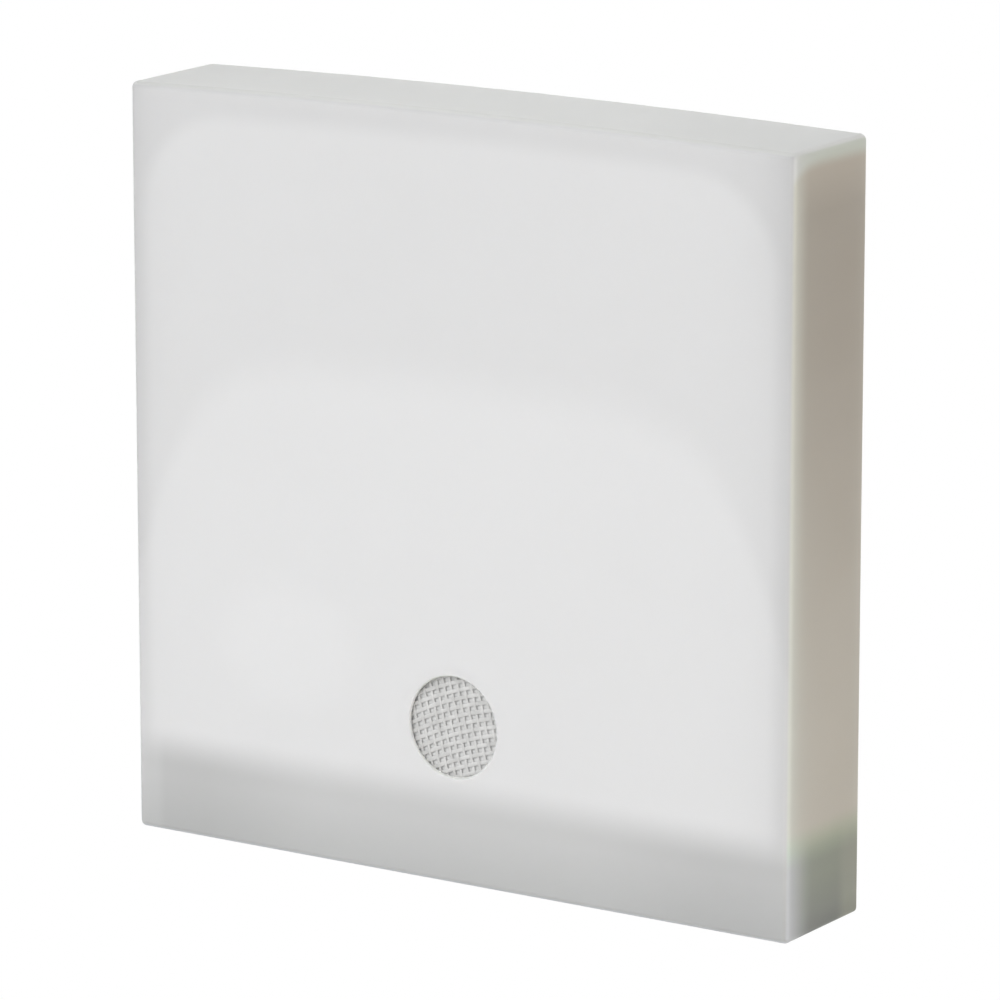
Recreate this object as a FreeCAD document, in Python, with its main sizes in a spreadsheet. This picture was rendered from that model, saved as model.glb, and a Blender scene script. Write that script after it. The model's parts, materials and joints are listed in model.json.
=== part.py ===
import FreeCAD, Part
import math
import os
from types import SimpleNamespace

import Sketcher
from FreeCAD import Placement, Rotation, Vector

# Indoor alarm siren, in millimetres.
# The origin is the middle of the back, where the siren lies on the wall.
# +X is to the right seen from the front, +Z is up, and the front looks along -Y,
# so a place that is called a depth is a distance in front of the wall.

SIZES = [
    # The opal shell
    ("cover_wall", 2.5, "wall of the shell"),
    ("edge_radius", 1.0, "rounding of the shell's outer edges"),
    ("top_rise", 0.9, "middle of the shell's arched top above its ends"),
    ("side_space", 2.9, "between the frame and the shell's side walls"),
    ("top_space", 1.7, "between the frame and the shell's top wall"),
    # The sound outlet and its mesh
    ("outlet_diameter", 16.0, "round sound outlet"),
    ("outlet_rise", 25.0, "outlet centre above the shell's lower edge"),
    ("outlet_rounding", 0.3, "rounding of the outlet's front edge"),
    ("outlet_lip", 0.6, "wall left in front of the mesh"),
    ("mesh_seat_diameter", 18.8, "counterbore that the mesh sits in"),
    ("mesh_play", 0.1, "gap round the mesh, the membrane and the ring"),
    ("mesh_pitch", 1.27, "wire spacing, twenty to the inch"),
    ("mesh_wire", 0.48, "wire thickness"),
    ("mesh_crimp", 0.2, "height of a wire where it passes over another"),
    ("ridge_foot", 0.43, "width of a raised wire at its foot"),
    ("ridge_crown", 0.24, "width of a raised wire at its top"),
    ("ridge_top_length", 0.57, "length of a raised wire's flat top"),
    ("ridge_sink", 0.025, "foot of a raised wire inside the web"),
    ("mesh_turn", 17.0, "turn of the weave in its seat, in degrees"),
    ("membrane_thickness", 0.3, "white acoustic membrane behind the mesh"),
    ("mesh_ring_bore", 16.4, "opening of the ring behind the membrane"),
    # The frame behind the face
    ("frame_edge", 0.3, "frame sheet beyond the battery bay's walls"),
    ("frame_rise", 14.0, "frame's lower edge above the shell's lower edge"),
    ("chassis_floor", 1.2, "frame sheet behind the face"),
    ("chassis_corner", 3.0, "corner radius of the frame"),
    ("chassis_outlet", 15.0, "sound hole in the frame"),
    ("catch_width", 8.0, "width of the tabs and catches at the sides"),
    ("catch_reach", 0.9, "how far a catch stands out of the shell's wall"),
    ("catch_ramp", 2.0, "length of a catch's ramp"),
    ("catch_spacing", 34.0, "spacing of the side tabs"),
    ("fit_gap", 0.2, "gap between moulded parts that slide together"),
    # The battery bay
    ("battery_diameter", 14.5, "cell diameter"),
    ("battery_length", 50.5, "cell length with its nub"),
    ("battery_nub_diameter", 5.5, "positive nub"),
    ("battery_nub_height", 1.0, "positive nub"),
    ("bay_rise", 1.0, "battery bay above the board"),
    ("battery_row_pitch", 16.0, "row spacing"),
    ("battery_play", 0.25, "gap round a cell"),
    ("bay_wall", 1.1, "walls of the bay"),
    ("bay_height", 8.7, "height of the bay's walls off the frame"),
    ("bay_divider", 1.0, "rib between the rows"),
    ("bay_divider_height", 6.5, "height of that rib"),
    ("contact_sheet", 0.4, "contact sheet metal"),
    ("contact_width", 9.0, "contact plates"),
    ("contact_tail", 1.1, "width of a tail to the board"),
    ("tail_gap", 0.6, "between a tail and the wall plate"),
    ("negative_pin_drop", 2.2, "lower end of the negative terminal's pin below the board's upper edge"),
    ("positive_pin_drop", 7.7, "lower end of the positive terminal's pin below the board's upper edge"),
    ("leaf_depth", 2.4, "spring leaf at the end of a row"),
    ("bridge_leaf_depth", 1.4, "spring leaf between two cells"),
    ("leaf_width", 5.0, "width of a leaf"),
    ("contact_boss", 0.4, "raised spot that meets a nub"),
    ("contact_boss_diameter", 4.5, "raised spot that meets a nub"),
    # The wall plate
    ("plate_thickness", 2.0, "sheet of the wall plate"),
    ("plate_rim_wall", 1.2, "upstand round the plate"),
    ("plate_rim_height", 3.0, "upstand round the plate"),
    ("wall_hole_diameter", 4.5, "holes for the wall screws"),
    ("wall_hole_spacing", 60.0, "as on a wall box"),
    ("countersink", 1.1, "depth of the screw countersinks"),
    ("plate_rib_wall", 1.2, "stiffening ribs"),
    ("plate_rib_height", 0.8, "stiffening ribs"),
    ("plate_rib_length", 56.0, "stiffening ribs"),
    ("plate_rib_rise", 15.0, "ribs above the shell's lower edge"),
    ("plate_rib_inner", 11.5, "inner ribs from the middle"),
    ("plate_rib_outer", 40.0, "outer ribs from the middle"),
    ("hook_spacing", 60.0, "distance between the two top hooks"),
    ("hook_width", 9.0, "width of a hook"),
    ("hook_wall", 1.2, "thickness of a hook"),
    ("hook_catch", 1.1, "overlap of hook and rib"),
    ("hook_play", 0.5, "rib beyond each side of its hook"),
    ("cover_screw_spacing", 64.0, "distance between the bottom screws"),
    ("cover_screw_depth", 6.2, "bottom screws in front of the wall"),
    ("cover_screw_shank", 2.8, "screw through the bottom wall"),
    ("cover_screw_length", 8.0, "under the head"),
    ("cover_screw_head", 5.4, "head diameter"),
    ("cover_screw_head_height", 1.2, "head height"),
    ("screw_boss_width", 8.0, "boss for a bottom screw"),
    ("screw_boss_length", 9.0, "boss for a bottom screw"),
    ("thread_gap", 0.05, "gap round a screw, its thread is left out"),
    ("screw_clearance", 0.2, "gap round a shank in a clearance hole"),
    ("recess_clearance", 0.3, "gap round a recessed screw head"),
    ("recess_margin", 0.15, "screw head below the surface"),
    ("cross_reach", 0.28, "arm of a screw's cross recess, as a share of its head"),
    ("cross_width", 0.06, "half the width of that arm, as a share of its head"),
    ("head_side", 0.6, "straight side of a screw head, as a share of its height"),
    # The board
    ("board_gap", 3.0, "between wall plate and board"),
    ("board_thickness", 1.6, "printed circuit board"),
    ("board_edge", 1.8, "board beyond the rows of cells at each side"),
    ("board_height", 75.8, "board height"),
    ("board_clearance", 3.0, "between the board and the shell's bottom wall"),
    ("board_corner", 1.5, "corner radius"),
    ("notch_gap", 1.0, "board clear of the bottom bosses"),
    ("post_diameter", 6.0, "posts of the frame that carry the board"),
    ("post_inset", 6.0, "posts in from the board's side edges"),
    ("post_drop", 7.3, "upper posts below the board's upper edge"),
    ("post_rise", 13.5, "lower posts above the board's lower edge"),
    ("board_screw_shank", 2.2, "screw into a post"),
    ("board_screw_length", 7.0, "under the head"),
    ("board_screw_head", 4.4, "head diameter"),
    ("board_screw_head_height", 1.4, "head height"),
    # The sounder
    ("gasket_thickness", 1.5, "foam ring in front of the sounder"),
    ("gasket_width", 4.5, "foam ring"),
    ("sounder_diameter", 38.0, "case of the sounder"),
    ("sounder_wall", 1.5, "side wall of its case"),
    ("sounder_front", 1.2, "front wall of its case"),
    ("sounder_outlet", 12.0, "hole in its case"),
    ("sounder_ledge", 1.6, "ledge that the disc lies on"),
    ("sounder_bevel", 0.8, "bevel round the front of its case"),
    ("sounder_cap_thickness", 1.5, "cap of its case"),
    ("piezo_depth", 3.2, "disc in front of the cap"),
    ("piezo_play", 0.2, "gap round the disc"),
    ("piezo_thickness", 0.3, "brass disc"),
    ("ceramic_diameter", 24.0, "ceramic on the disc"),
    ("ceramic_thickness", 0.25, "ceramic on the disc"),
    ("sounder_pin_diameter", 0.8, "pins to the board"),
    ("sounder_pin_spacing", 10.0, "pins to the board"),
    ("pin_stub", 0.9, "how far a pin passes through the board"),
    ("pin_gap", 0.15, "gap round a pin in the board"),
    # The tamper switch and the learn switch
    ("tamper_x", 22.0, "to the right of the middle"),
    ("tamper_rise", 46.5, "above the board's lower edge"),
    ("switch_side", 6.0, "square case of both switches"),
    ("tamper_height", 2.6, "case height"),
    ("tamper_travel", 1.5, "how far the plunger goes in"),
    ("plunger_diameter", 2.4, "plunger"),
    ("plunger_tip_rounding", 0.6, "rounded tip of the plunger"),
    ("plunger_hold", 0.6, "length held in the case when it is out"),
    ("plunger_hole_gap", 0.5, "gap round the plunger in the wall plate"),
    ("running_gap", 0.05, "gap round a plunger or button in its case"),
    ("learn_x", 30.0, "to the right of the middle"),
    ("learn_rise", 35.5, "above the board's lower edge"),
    ("learn_height", 1.8, "case height"),
    ("learn_travel", 0.25, "how far the button goes in"),
    ("learn_button_diameter", 3.2, "button"),
    ("learn_button_hold", 0.6, "length held in the case"),
    ("learn_button_height", 1.1, "whole length of the button"),
    # Components on the board: left or right of the middle or in from a side edge, and above its lower edge
    ("coil_inset", 17.8, "step-up coil from the left edge"),
    ("coil_rise", 40.5, "step-up coil"),
    ("coil_diameter", 10.0, "step-up coil"),
    ("coil_height", 9.0, "step-up coil"),
    ("coil_flange", 1.2, "its flanges"),
    ("coil_neck", 5.0, "neck inside the winding"),
    ("coil_winding", 9.0, "outer diameter of the winding"),
    ("capacitor_diameter", 8.0, "reservoir capacitors"),
    ("capacitor_height", 9.2, "reservoir capacitors"),
    ("capacitor_inset", 15.8, "outer capacitor from the left edge"),
    ("capacitor_step", 10.8, "distance between the two"),
    ("capacitor_rise", 56.6, "reservoir capacitors"),
    ("led_length", 3.5, "flash lamps"),
    ("led_width", 2.8, "flash lamps"),
    ("led_height", 1.9, "flash lamps"),
    ("led_lens", 2.3, "round well of a flash lamp"),
    ("led_rise", 4.0, "flash lamps"),
    ("led_inset", 12.1, "outer lamps from the side edges"),
    ("led_inner", 22.1, "inner lamps from the middle"),
    ("chip_side", 7.0, "microcontroller"),
    ("chip_height", 0.9, "microcontroller"),
    ("chip_right", 9.8, "microcontroller"),
    ("chip_rise", 48.9, "microcontroller"),
    ("driver_length", 5.0, "driver chip"),
    ("driver_width", 3.9, "driver chip"),
    ("driver_height", 1.5, "driver chip"),
    ("driver_left", 3.9, "driver chip"),
    ("driver_rise", 51.7, "driver chip"),
    ("lead_pitch", 1.27, "leads of the driver chip"),
    ("lead_width", 0.42, "leads of the driver chip"),
    ("lead_sheet", 0.2, "lead thickness"),
    ("lead_reach", 1.05, "leads beyond the body"),
    ("transistor_length", 6.6, "power transistors"),
    ("transistor_width", 6.1, "power transistors"),
    ("transistor_height", 2.3, "power transistors"),
    ("transistor_left", 16.7, "power transistors"),
    ("transistor_rise", 44.0, "lower transistor"),
    ("transistor_step", 12.6, "distance between the two"),
    ("diode_length", 4.4, "diodes"),
    ("diode_width", 2.6, "diodes"),
    ("diode_height", 2.1, "diodes"),
    ("diode_left", 4.9, "left diode"),
    ("diode_step", 7.9, "distance between the two"),
    ("diode_rise", 66.4, "diodes"),
    ("radio_length", 20.0, "radio board"),
    ("radio_width", 14.0, "radio board"),
    ("radio_thickness", 0.8, "radio board"),
    ("radio_inset", 22.7, "radio board from the right edge"),
    ("radio_rise", 56.6, "radio board"),
    ("shield_length", 12.0, "its metal can"),
    ("shield_width", 10.0, "its metal can"),
    ("shield_height", 2.2, "its metal can"),
    ("shield_wall", 0.3, "its metal can"),
    ("antenna_wire_diameter", 0.8, "antenna"),
    ("antenna_rise", 3.0, "antenna off the radio board"),
    ("antenna_run", 66.0, "straight length of the antenna"),
    ("antenna_bend", 1.6, "bend of the antenna"),
]


class Length:
    """A length with its value and the expression that gives it from the spreadsheet."""

    def __init__(self, text, value):
        self.text = text
        self.value = value

    def join(self, other, sign, value, swap=False):
        other_text = other.text if isinstance(other, Length) else repr(float(other))
        first, second = (other_text, self.text) if swap else (self.text, other_text)
        return Length(f"({first} {sign} {second})", value)

    def __add__(self, other):
        return self.join(other, "+", self.value + number(other))

    def __radd__(self, other):
        return self.join(other, "+", number(other) + self.value, swap=True)

    def __sub__(self, other):
        return self.join(other, "-", self.value - number(other))

    def __rsub__(self, other):
        return self.join(other, "-", number(other) - self.value, swap=True)

    def __mul__(self, other):
        return self.join(other, "*", self.value * number(other))

    def __rmul__(self, other):
        return self.join(other, "*", number(other) * self.value, swap=True)

    def __truediv__(self, other):
        return self.join(other, "/", self.value / number(other))

    def __neg__(self):
        return Length(f"(0 - {self.text})", -self.value)


def number(size):
    """The plain value of a Length or a number."""
    return size.value if isinstance(size, Length) else float(size)


doc = FreeCAD.newDocument("indoor_alarm_siren")
sheet = doc.addObject("Spreadsheet::Sheet", "Sizes")
for row, (alias, value, note) in enumerate(SIZES, start=1):
    sheet.set(f"A{row}", alias)
    sheet.set(f"B{row}", str(value))
    sheet.setAlias(f"B{row}", alias)
    sheet.set(f"C{row}", note)
doc.recompute()
size = SimpleNamespace(**{alias: Length(f"Sizes.{alias}", value) for alias, value, _ in SIZES})

pieces = []

# Places that several pieces share, as depths in front of the wall or heights from the middle
bridge_depth = size.contact_sheet + size.bridge_leaf_depth
bay_half = (
    size.battery_length * 2 + size.contact_sheet * 2 + size.leaf_depth + bridge_depth + size.contact_boss
) / 2
cell_space = size.battery_diameter / 2 + size.battery_play
bay_height_outside = (size.bay_wall + cell_space) * 2 + size.battery_row_pitch

# The shell is as wide, high and deep as the cells, the board and the frame need
frame_half_width = bay_half + size.bay_wall + size.frame_edge
cavity_half_width = frame_half_width + size.side_space
housing_width = (cavity_half_width + size.cover_wall) * 2
housing_height = (
    size.cover_wall * 2
    + size.board_clearance
    + size.board_height
    + size.bay_rise
    + bay_height_outside
    + size.frame_edge
    + size.top_space
)
cavity_half_height = housing_height / 2 - size.cover_wall
frame_back = size.plate_thickness + size.fit_gap * 2 + size.battery_diameter
face_inside = frame_back + size.chassis_floor
housing_depth = face_inside + size.cover_wall

lower_edge = -housing_height / 2
outlet_level = lower_edge + size.outlet_rise
frame_bottom = lower_edge + size.frame_rise
board_bottom = lower_edge + size.cover_wall + size.board_clearance
board_top = board_bottom + size.board_height
board_half_width = bay_half + size.board_edge
post_x = board_half_width - size.post_inset
post_levels = (board_bottom + size.post_rise, board_top - size.post_drop)
battery_row_low = board_top + size.bay_rise + size.bay_wall + cell_space
battery_row_high = battery_row_low + size.battery_row_pitch
frame_top = battery_row_high + cell_space + size.bay_wall + size.frame_edge
tamper_level = board_bottom + size.tamper_rise
learn_level = board_bottom + size.learn_rise

board_back = size.plate_thickness + size.board_gap
board_front = board_back + size.board_thickness
mesh_front = housing_depth - size.outlet_lip
mesh_back = mesh_front - size.mesh_wire
membrane_back = mesh_back - size.membrane_thickness
battery_depth = frame_back - size.fit_gap - size.battery_diameter / 2
battery_far_end = -bay_half + size.contact_sheet + size.leaf_depth
battery_near_end = battery_far_end + size.battery_length + bridge_depth
plate_half_width = cavity_half_width - size.fit_gap
plate_half_height = cavity_half_height - size.fit_gap
gasket_back = frame_back - size.gasket_thickness
sounder_back = board_front + size.sounder_cap_thickness
piezo_front = sounder_back + size.piezo_depth


def bind(thing, path, length):
    """Ties a property to the spreadsheet."""
    if isinstance(length, Length):
        thing.setExpression(path, length.text)
    else:
        thing.setExpression(path, repr(float(length)))


def new_body(name):
    """An empty body that becomes one piece."""
    body = doc.addObject("PartDesign::Body", name)
    body.Label = name
    pieces.append(body)
    return body


def place(body, x=0, depth=0, height=0, rotation=None):
    """Puts a body at a place in the siren, bound to the spreadsheet."""
    if rotation:
        body.Placement = Placement(Vector(0, 0, 0), rotation)
    bind(body, "Placement.Base.x", x)
    bind(body, "Placement.Base.y", -depth)
    bind(body, "Placement.Base.z", height)


def sketch(body, name, plane="XZ_Plane", offset=0):
    """A sketch on one of the body's own planes; an offset on XZ_Plane is a depth."""
    made = body.newObject("Sketcher::SketchObject", f"{body.Name}_{name}")
    support = next(item for item in body.Origin.OriginFeatures if item.Role == plane)
    made.AttachmentSupport = [(support, "")]
    made.MapMode = "FlatFace"
    bind(made, "AttachmentOffset.Base.z", offset)
    return made


def hold_point(where, tag, geometry, vertex, point):
    """Ties one point of a sketch to its two distances from the origin."""
    for kind, length, letter in zip(("DistanceX", "DistanceY"), point, "uv"):
        index = where.addConstraint(
            Sketcher.Constraint(kind, -1, 1, geometry, vertex, number(length))
        )
        where.renameConstraint(index, f"{tag}_{letter}")
        bind(where, f"Constraints.{tag}_{letter}", length)


def outline(where, points):
    """A closed outline of straight lines through the points, each point tied to the sheet."""
    first = where.GeometryCount
    ends = [Vector(number(u), number(v), 0) for u, v in points]
    for index, end in enumerate(ends):
        where.addGeometry(Part.LineSegment(end, ends[(index + 1) % len(ends)]), False)
    for index in range(len(ends)):
        following = first + (index + 1) % len(ends)
        where.addConstraint(Sketcher.Constraint("Coincident", first + index, 2, following, 1))
    for index, point in enumerate(points):
        hold_point(where, f"point{first + index}", first + index, 1, point)


def rectangle(where, left, bottom, right, top):
    """A rectangle between two corners."""
    outline(where, [(left, bottom), (right, bottom), (right, top), (left, top)])


def arched(where, half_width, bottom, shoulder):
    """A rectangle whose upper side is an arch, as the shell's top wall is."""
    rise = size.top_rise
    radius = (half_width * half_width + rise * rise) / (rise * 2)
    half, low, high = number(half_width), number(bottom), number(shoulder)
    turn = math.asin(half / radius.value)
    circle_of_arch = Part.Circle(Vector(0, high + rise.value - radius.value, 0), Vector(0, 0, 1), radius.value)
    base = where.GeometryCount
    where.addGeometry(Part.LineSegment(Vector(-half, low, 0), Vector(half, low, 0)), False)
    where.addGeometry(Part.LineSegment(Vector(half, low, 0), Vector(half, high, 0)), False)
    where.addGeometry(Part.ArcOfCircle(circle_of_arch, math.pi / 2 - turn, math.pi / 2 + turn), False)
    where.addGeometry(Part.LineSegment(Vector(-half, high, 0), Vector(-half, low, 0)), False)
    corners = ((-half_width, bottom), (half_width, bottom), (half_width, shoulder), (-half_width, shoulder))
    for index, corner in enumerate(corners):
        where.addConstraint(Sketcher.Constraint("Coincident", base + index, 2, base + (index + 1) % 4, 1))
        hold_point(where, f"point{base + index}", base + index, 1, corner)
    held = where.addConstraint(Sketcher.Constraint("Radius", base + 2, radius.value))
    where.renameConstraint(held, f"arch{base}")
    bind(where, f"Constraints.arch{base}", radius)


def centred(where, u, v, width, height):
    """A rectangle round a centre."""
    rectangle(where, u - width / 2, v - height / 2, u + width / 2, v + height / 2)


def circle(where, u, v, diameter):
    """A circle round a centre."""
    index = where.GeometryCount
    centre = Vector(number(u), number(v), 0)
    where.addGeometry(Part.Circle(centre, Vector(0, 0, 1), number(diameter) / 2), False)
    hold_point(where, f"centre{index}", index, 3, (u, v))
    held = where.addConstraint(Sketcher.Constraint("Diameter", index, number(diameter)))
    where.renameConstraint(held, f"diameter{index}")
    bind(where, f"Constraints.diameter{index}", diameter)


def pad(body, profile, length, both_ways=False, backwards=False):
    """Raises a sketch; on XZ_Plane it grows to the front, or to the wall when backwards."""
    made = body.newObject("PartDesign::Pad", f"{profile.Name}_pad")
    made.Profile = profile
    if both_ways:
        made.SideType = "Symmetric"
    made.Reversed = backwards
    bind(made, "Length", length)
    doc.recompute()
    return made


def pocket(body, profile, depth, to_front=True):
    """Cuts a sketch in; on XZ_Plane it cuts to the front, or else to the wall."""
    before = body.Shape.Volume
    made = body.newObject("PartDesign::Pocket", f"{profile.Name}_pocket")
    made.Profile = profile
    made.Reversed = to_front
    bind(made, "Length", depth)
    doc.recompute()
    if not body.Shape.Volume < before:
        raise RuntimeError(f"{made.Name} cuts nothing")
    return made


def revolve(body, profile, axis="V_Axis"):
    """Turns a sketch once round one of its own axes."""
    made = body.newObject("PartDesign::Revolution", f"{profile.Name}_revolution")
    made.Profile = profile
    made.ReferenceAxis = (profile, [axis])
    made.Angle = 360
    doc.recompute()
    return made


def edges_where(feature, test):
    """The names of the edges whose middle and bounding box pass a test."""
    names = []
    for index, edge in enumerate(feature.Shape.Edges, start=1):
        if test(edge, edge.BoundBox):
            names.append(f"Edge{index}")
    return names


def round_edges(body, test, radius, kind="PartDesign::Fillet"):
    """Rounds or chamfers the body's edges that pass a test."""
    base = body.Tip
    names = edges_where(base, test)
    if not names:
        raise RuntimeError(f"{body.Name} has no edge to round")
    made = body.newObject(kind, f"{base.Name}_{kind[-4:].lower()}")
    made.Base = (base, names)
    bind(made, "Radius" if kind.endswith("Fillet") else "Size", radius)
    doc.recompute()
    return made


def along_y(edge, box):
    """Is it a straight edge that runs from front to back?"""
    return box.XLength < 1e-4 and box.ZLength < 1e-4 and box.YLength > 1e-4


def circle_at(edge, box, diameter, depth):
    """Is it a circle of this diameter that lies at this depth?"""
    flat = abs(box.YMin + depth.value) < 1e-4 and abs(box.YMax + depth.value) < 1e-4
    return flat and abs(box.XLength - number(diameter)) < 1e-4


def turned(name, points, x, height, axis="V_Axis"):
    """A body turned from points given as radius and place along its axis, which runs front to back."""
    body = new_body(name)
    profile = sketch(body, "profile", "XY_Plane")
    outline(profile, points)
    revolve(body, profile, axis)
    place(body, x, 0, height)
    return body


def make_front_cover():
    """The opal shell: a box with an arched top, open to the wall, with the sound outlet and its mesh seat."""
    body = new_body("front_cover")
    block = sketch(body, "block")
    arched(block, housing_width / 2, lower_edge, -lower_edge)
    pad(body, block, housing_depth)
    front = -housing_depth.value

    def outer_edge(edge, box):
        return along_y(edge, box) or (abs(box.YMin - front) < 1e-4 and abs(box.YMax - front) < 1e-4)

    round_edges(body, outer_edge, size.edge_radius)

    cavity = sketch(body, "cavity")
    arched(cavity, cavity_half_width, -cavity_half_height, cavity_half_height)
    pocket(body, cavity, face_inside)

    outlet = sketch(body, "outlet", offset=face_inside)
    circle(outlet, 0, outlet_level, size.outlet_diameter)
    pocket(body, outlet, size.cover_wall)

    def outlet_edge(edge, box):
        return circle_at(edge, box, size.outlet_diameter, housing_depth)

    round_edges(body, outlet_edge, size.outlet_rounding)
    seat = sketch(body, "mesh_seat", offset=face_inside)
    circle(seat, 0, outlet_level, size.mesh_seat_diameter)
    pocket(body, seat, mesh_front - face_inside)

    # The catches behind the frame's side tabs, each a ramp that the tab slides over
    catch_front = -(frame_back - size.fit_gap)
    for index in (-1, 0, 1):
        middle = size.catch_spacing * index
        catch = sketch(body, f"catch{index + 2}", "XY_Plane", middle)
        for side in (-1, 1):
            wall = cavity_half_width * side
            tip = (cavity_half_width - size.catch_reach) * side
            outline(catch, [(wall, catch_front), (tip, catch_front), (wall, catch_front + size.catch_ramp)])
        pad(body, catch, size.catch_width, both_ways=True)

    # The two ribs under the top wall that the wall plate's hooks reach round
    rib = sketch(body, "hook_ribs", offset=size.plate_thickness + size.plate_rim_height + size.fit_gap)
    rib_half = size.hook_width / 2 + size.hook_play
    for side in (-1, 1):
        middle = size.hook_spacing / 2 * side
        low, high = cavity_half_height - size.hook_catch, cavity_half_height + size.top_rise
        rectangle(rib, middle - rib_half, low, middle + rib_half, high)
    pad(body, rib, size.hook_wall)

    # The recessed holes of the two bottom screws
    recess_depth = size.cover_screw_head_height + size.recess_margin
    for name, diameter, depth in (
        ("screw_holes", size.cover_screw_shank + size.screw_clearance * 2, size.cover_wall),
        ("screw_recesses", size.cover_screw_head + size.recess_clearance * 2, recess_depth),
    ):
        hole = sketch(body, name, "XY_Plane", lower_edge)
        for side in (-1, 1):
            circle(hole, size.cover_screw_spacing / 2 * side, -size.cover_screw_depth, diameter)
        pocket(body, hole, depth)


def mesh_places(reach, step, shift):
    """The places of a square grid, turned as the weave is, that lie within a radius."""
    turn = math.radians(size.mesh_turn.value)
    count = int(reach / step) + 1
    for row in range(-count, count + 1):
        for column in range(-count, count + 1):
            u, v = (column + shift) * step, (row + shift) * step
            if math.hypot(u, v) < reach:
                x = u * math.cos(turn) - v * math.sin(turn)
                z = u * math.sin(turn) + v * math.cos(turn)
                yield row + column, x, z


def mesh_square(x, z, width, height, turn, depth):
    """A turned rectangle as a closed wire at a depth."""
    across = Vector(math.cos(turn), 0, math.sin(turn)) * (width / 2)
    up = Vector(-math.sin(turn), 0, math.cos(turn)) * (height / 2)
    centre = Vector(x, -depth, z)
    corners = [centre - across - up, centre + across - up, centre + across + up, centre - across + up]
    return Part.makePolygon(corners + corners[:1])


def mesh_ridge(x, z, turn):
    """The stretch of wire that passes over its neighbour: a bar with sloping ends."""
    foot_depth = (mesh_front - size.ridge_sink).value
    foot = mesh_square(x, z, size.mesh_pitch.value, size.ridge_foot.value, turn, foot_depth)
    crown_depth = (mesh_front + size.mesh_crimp).value
    crown = mesh_square(x, z, size.ridge_top_length.value, size.ridge_crown.value, turn, crown_depth)
    return Part.makeLoft([foot, crown], True, True)


def make_sounder_mesh():
    """The woven wire disc: gaps in one wall, with each wire raised in turn where it passes over."""
    pitch, wire = size.mesh_pitch.value, size.mesh_wire.value
    radius = (size.mesh_seat_diameter / 2 - size.mesh_play).value
    visible = size.outlet_diameter.value / 2
    turn = math.radians(size.mesh_turn.value)
    rim = Part.Wire(Part.makeCircle(radius, Vector(0, -mesh_back.value, 0), Vector(0, -1, 0)))
    gaps = [
        mesh_square(x, z, pitch - wire, pitch - wire, turn, mesh_back.value)
        for _, x, z in mesh_places(visible - wire, pitch, 0.5)
    ]
    sheet_face = Part.Face([rim] + gaps, "Part::FaceMakerBullseye")
    web = sheet_face.extrude(Vector(0, -wire, 0))
    ridges = [
        mesh_ridge(x, z, turn + (math.pi / 2 if parity % 2 else 0))
        for parity, x, z in mesh_places(visible - pitch / 2, pitch, 0)
    ]
    woven = web.fuse(ridges)
    piece = doc.addObject("Part::Feature", "sounder_mesh")
    piece.Label = "sounder_mesh"
    piece.Shape = woven.Solids[0]
    place(piece, height=outlet_level)
    pieces.append(piece)


def make_mesh_backing():
    """The white membrane behind the mesh, and the ring that the frame presses against both."""
    outer = size.mesh_seat_diameter / 2 - size.mesh_play
    bore = size.mesh_ring_bore / 2
    for name, inner, back, front in (
        ("acoustic_membrane", 0, membrane_back, mesh_back),
        ("mesh_ring", bore, face_inside, membrane_back),
    ):
        turned(name, [(inner, -back), (outer, -back), (outer, -front), (inner, -front)], 0, outlet_level)


def make_chassis():
    """The moulded frame behind the face: battery bay, board posts and side tabs."""
    body = new_body("chassis")
    floor = sketch(body, "floor", offset=frame_back)
    rectangle(floor, -frame_half_width, frame_bottom, frame_half_width, frame_top)
    pad(body, floor, size.chassis_floor)
    round_edges(body, along_y, size.chassis_corner)

    tabs = sketch(body, "tabs", offset=frame_back)
    for index in (-1, 0, 1):
        centred(
            tabs,
            0,
            size.catch_spacing * index,
            plate_half_width * 2,
            size.catch_width - size.fit_gap * 2,
        )
    pad(body, tabs, size.chassis_floor)

    hole = sketch(body, "sound_hole", offset=frame_back)
    circle(hole, 0, outlet_level, size.chassis_outlet)
    pocket(body, hole, size.chassis_floor)

    # The bay's wall runs round both rows, with its top corners cut to the frame's corners
    low = battery_row_low - cell_space
    high = battery_row_high + cell_space
    corner = size.bay_wall
    bay = sketch(body, "bay", offset=frame_back)
    for grow in (0, size.bay_wall):
        side, cut = bay_half + grow, corner + grow
        outline(
            bay,
            [
                (-side, low - grow),
                (side, low - grow),
                (side, high + grow - cut),
                (side - cut, high + grow),
                (-side + cut, high + grow),
                (-side, high + grow - cut),
            ],
        )
    pad(body, bay, size.bay_height, backwards=True)

    divider = sketch(body, "divider", offset=frame_back)
    middle = (battery_row_low + battery_row_high) / 2
    centred(divider, 0, middle, bay_half * 2 - size.contact_width, size.bay_divider)
    pad(body, divider, size.bay_divider_height, backwards=True)

    # Low ribs each side of the bridge contacts between the cells
    guides = sketch(body, "guides", offset=frame_back)
    for row, way in ((battery_row_low, -1), (battery_row_high, 1)):
        sheet_middle = (battery_far_end + size.battery_length + size.contact_sheet / 2) * way
        gap = size.contact_sheet + size.fit_gap
        for side in (-1, 1):
            for edge in (-1, 1):
                centred(
                    guides,
                    sheet_middle + gap * side,
                    row + size.contact_width / 2 * edge,
                    size.contact_sheet,
                    size.bay_wall,
                )
    pad(body, guides, size.bay_wall, backwards=True)

    posts = sketch(body, "posts", offset=frame_back)
    pilots = sketch(body, "pilots", offset=board_front)
    for side in (-1, 1):
        for level in post_levels:
            circle(posts, post_x * side, level, size.post_diameter)
            circle(pilots, post_x * side, level, size.board_screw_shank + size.thread_gap * 2)
    pad(body, posts, frame_back - board_front, backwards=True)
    pocket(body, pilots, size.board_screw_length)


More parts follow.
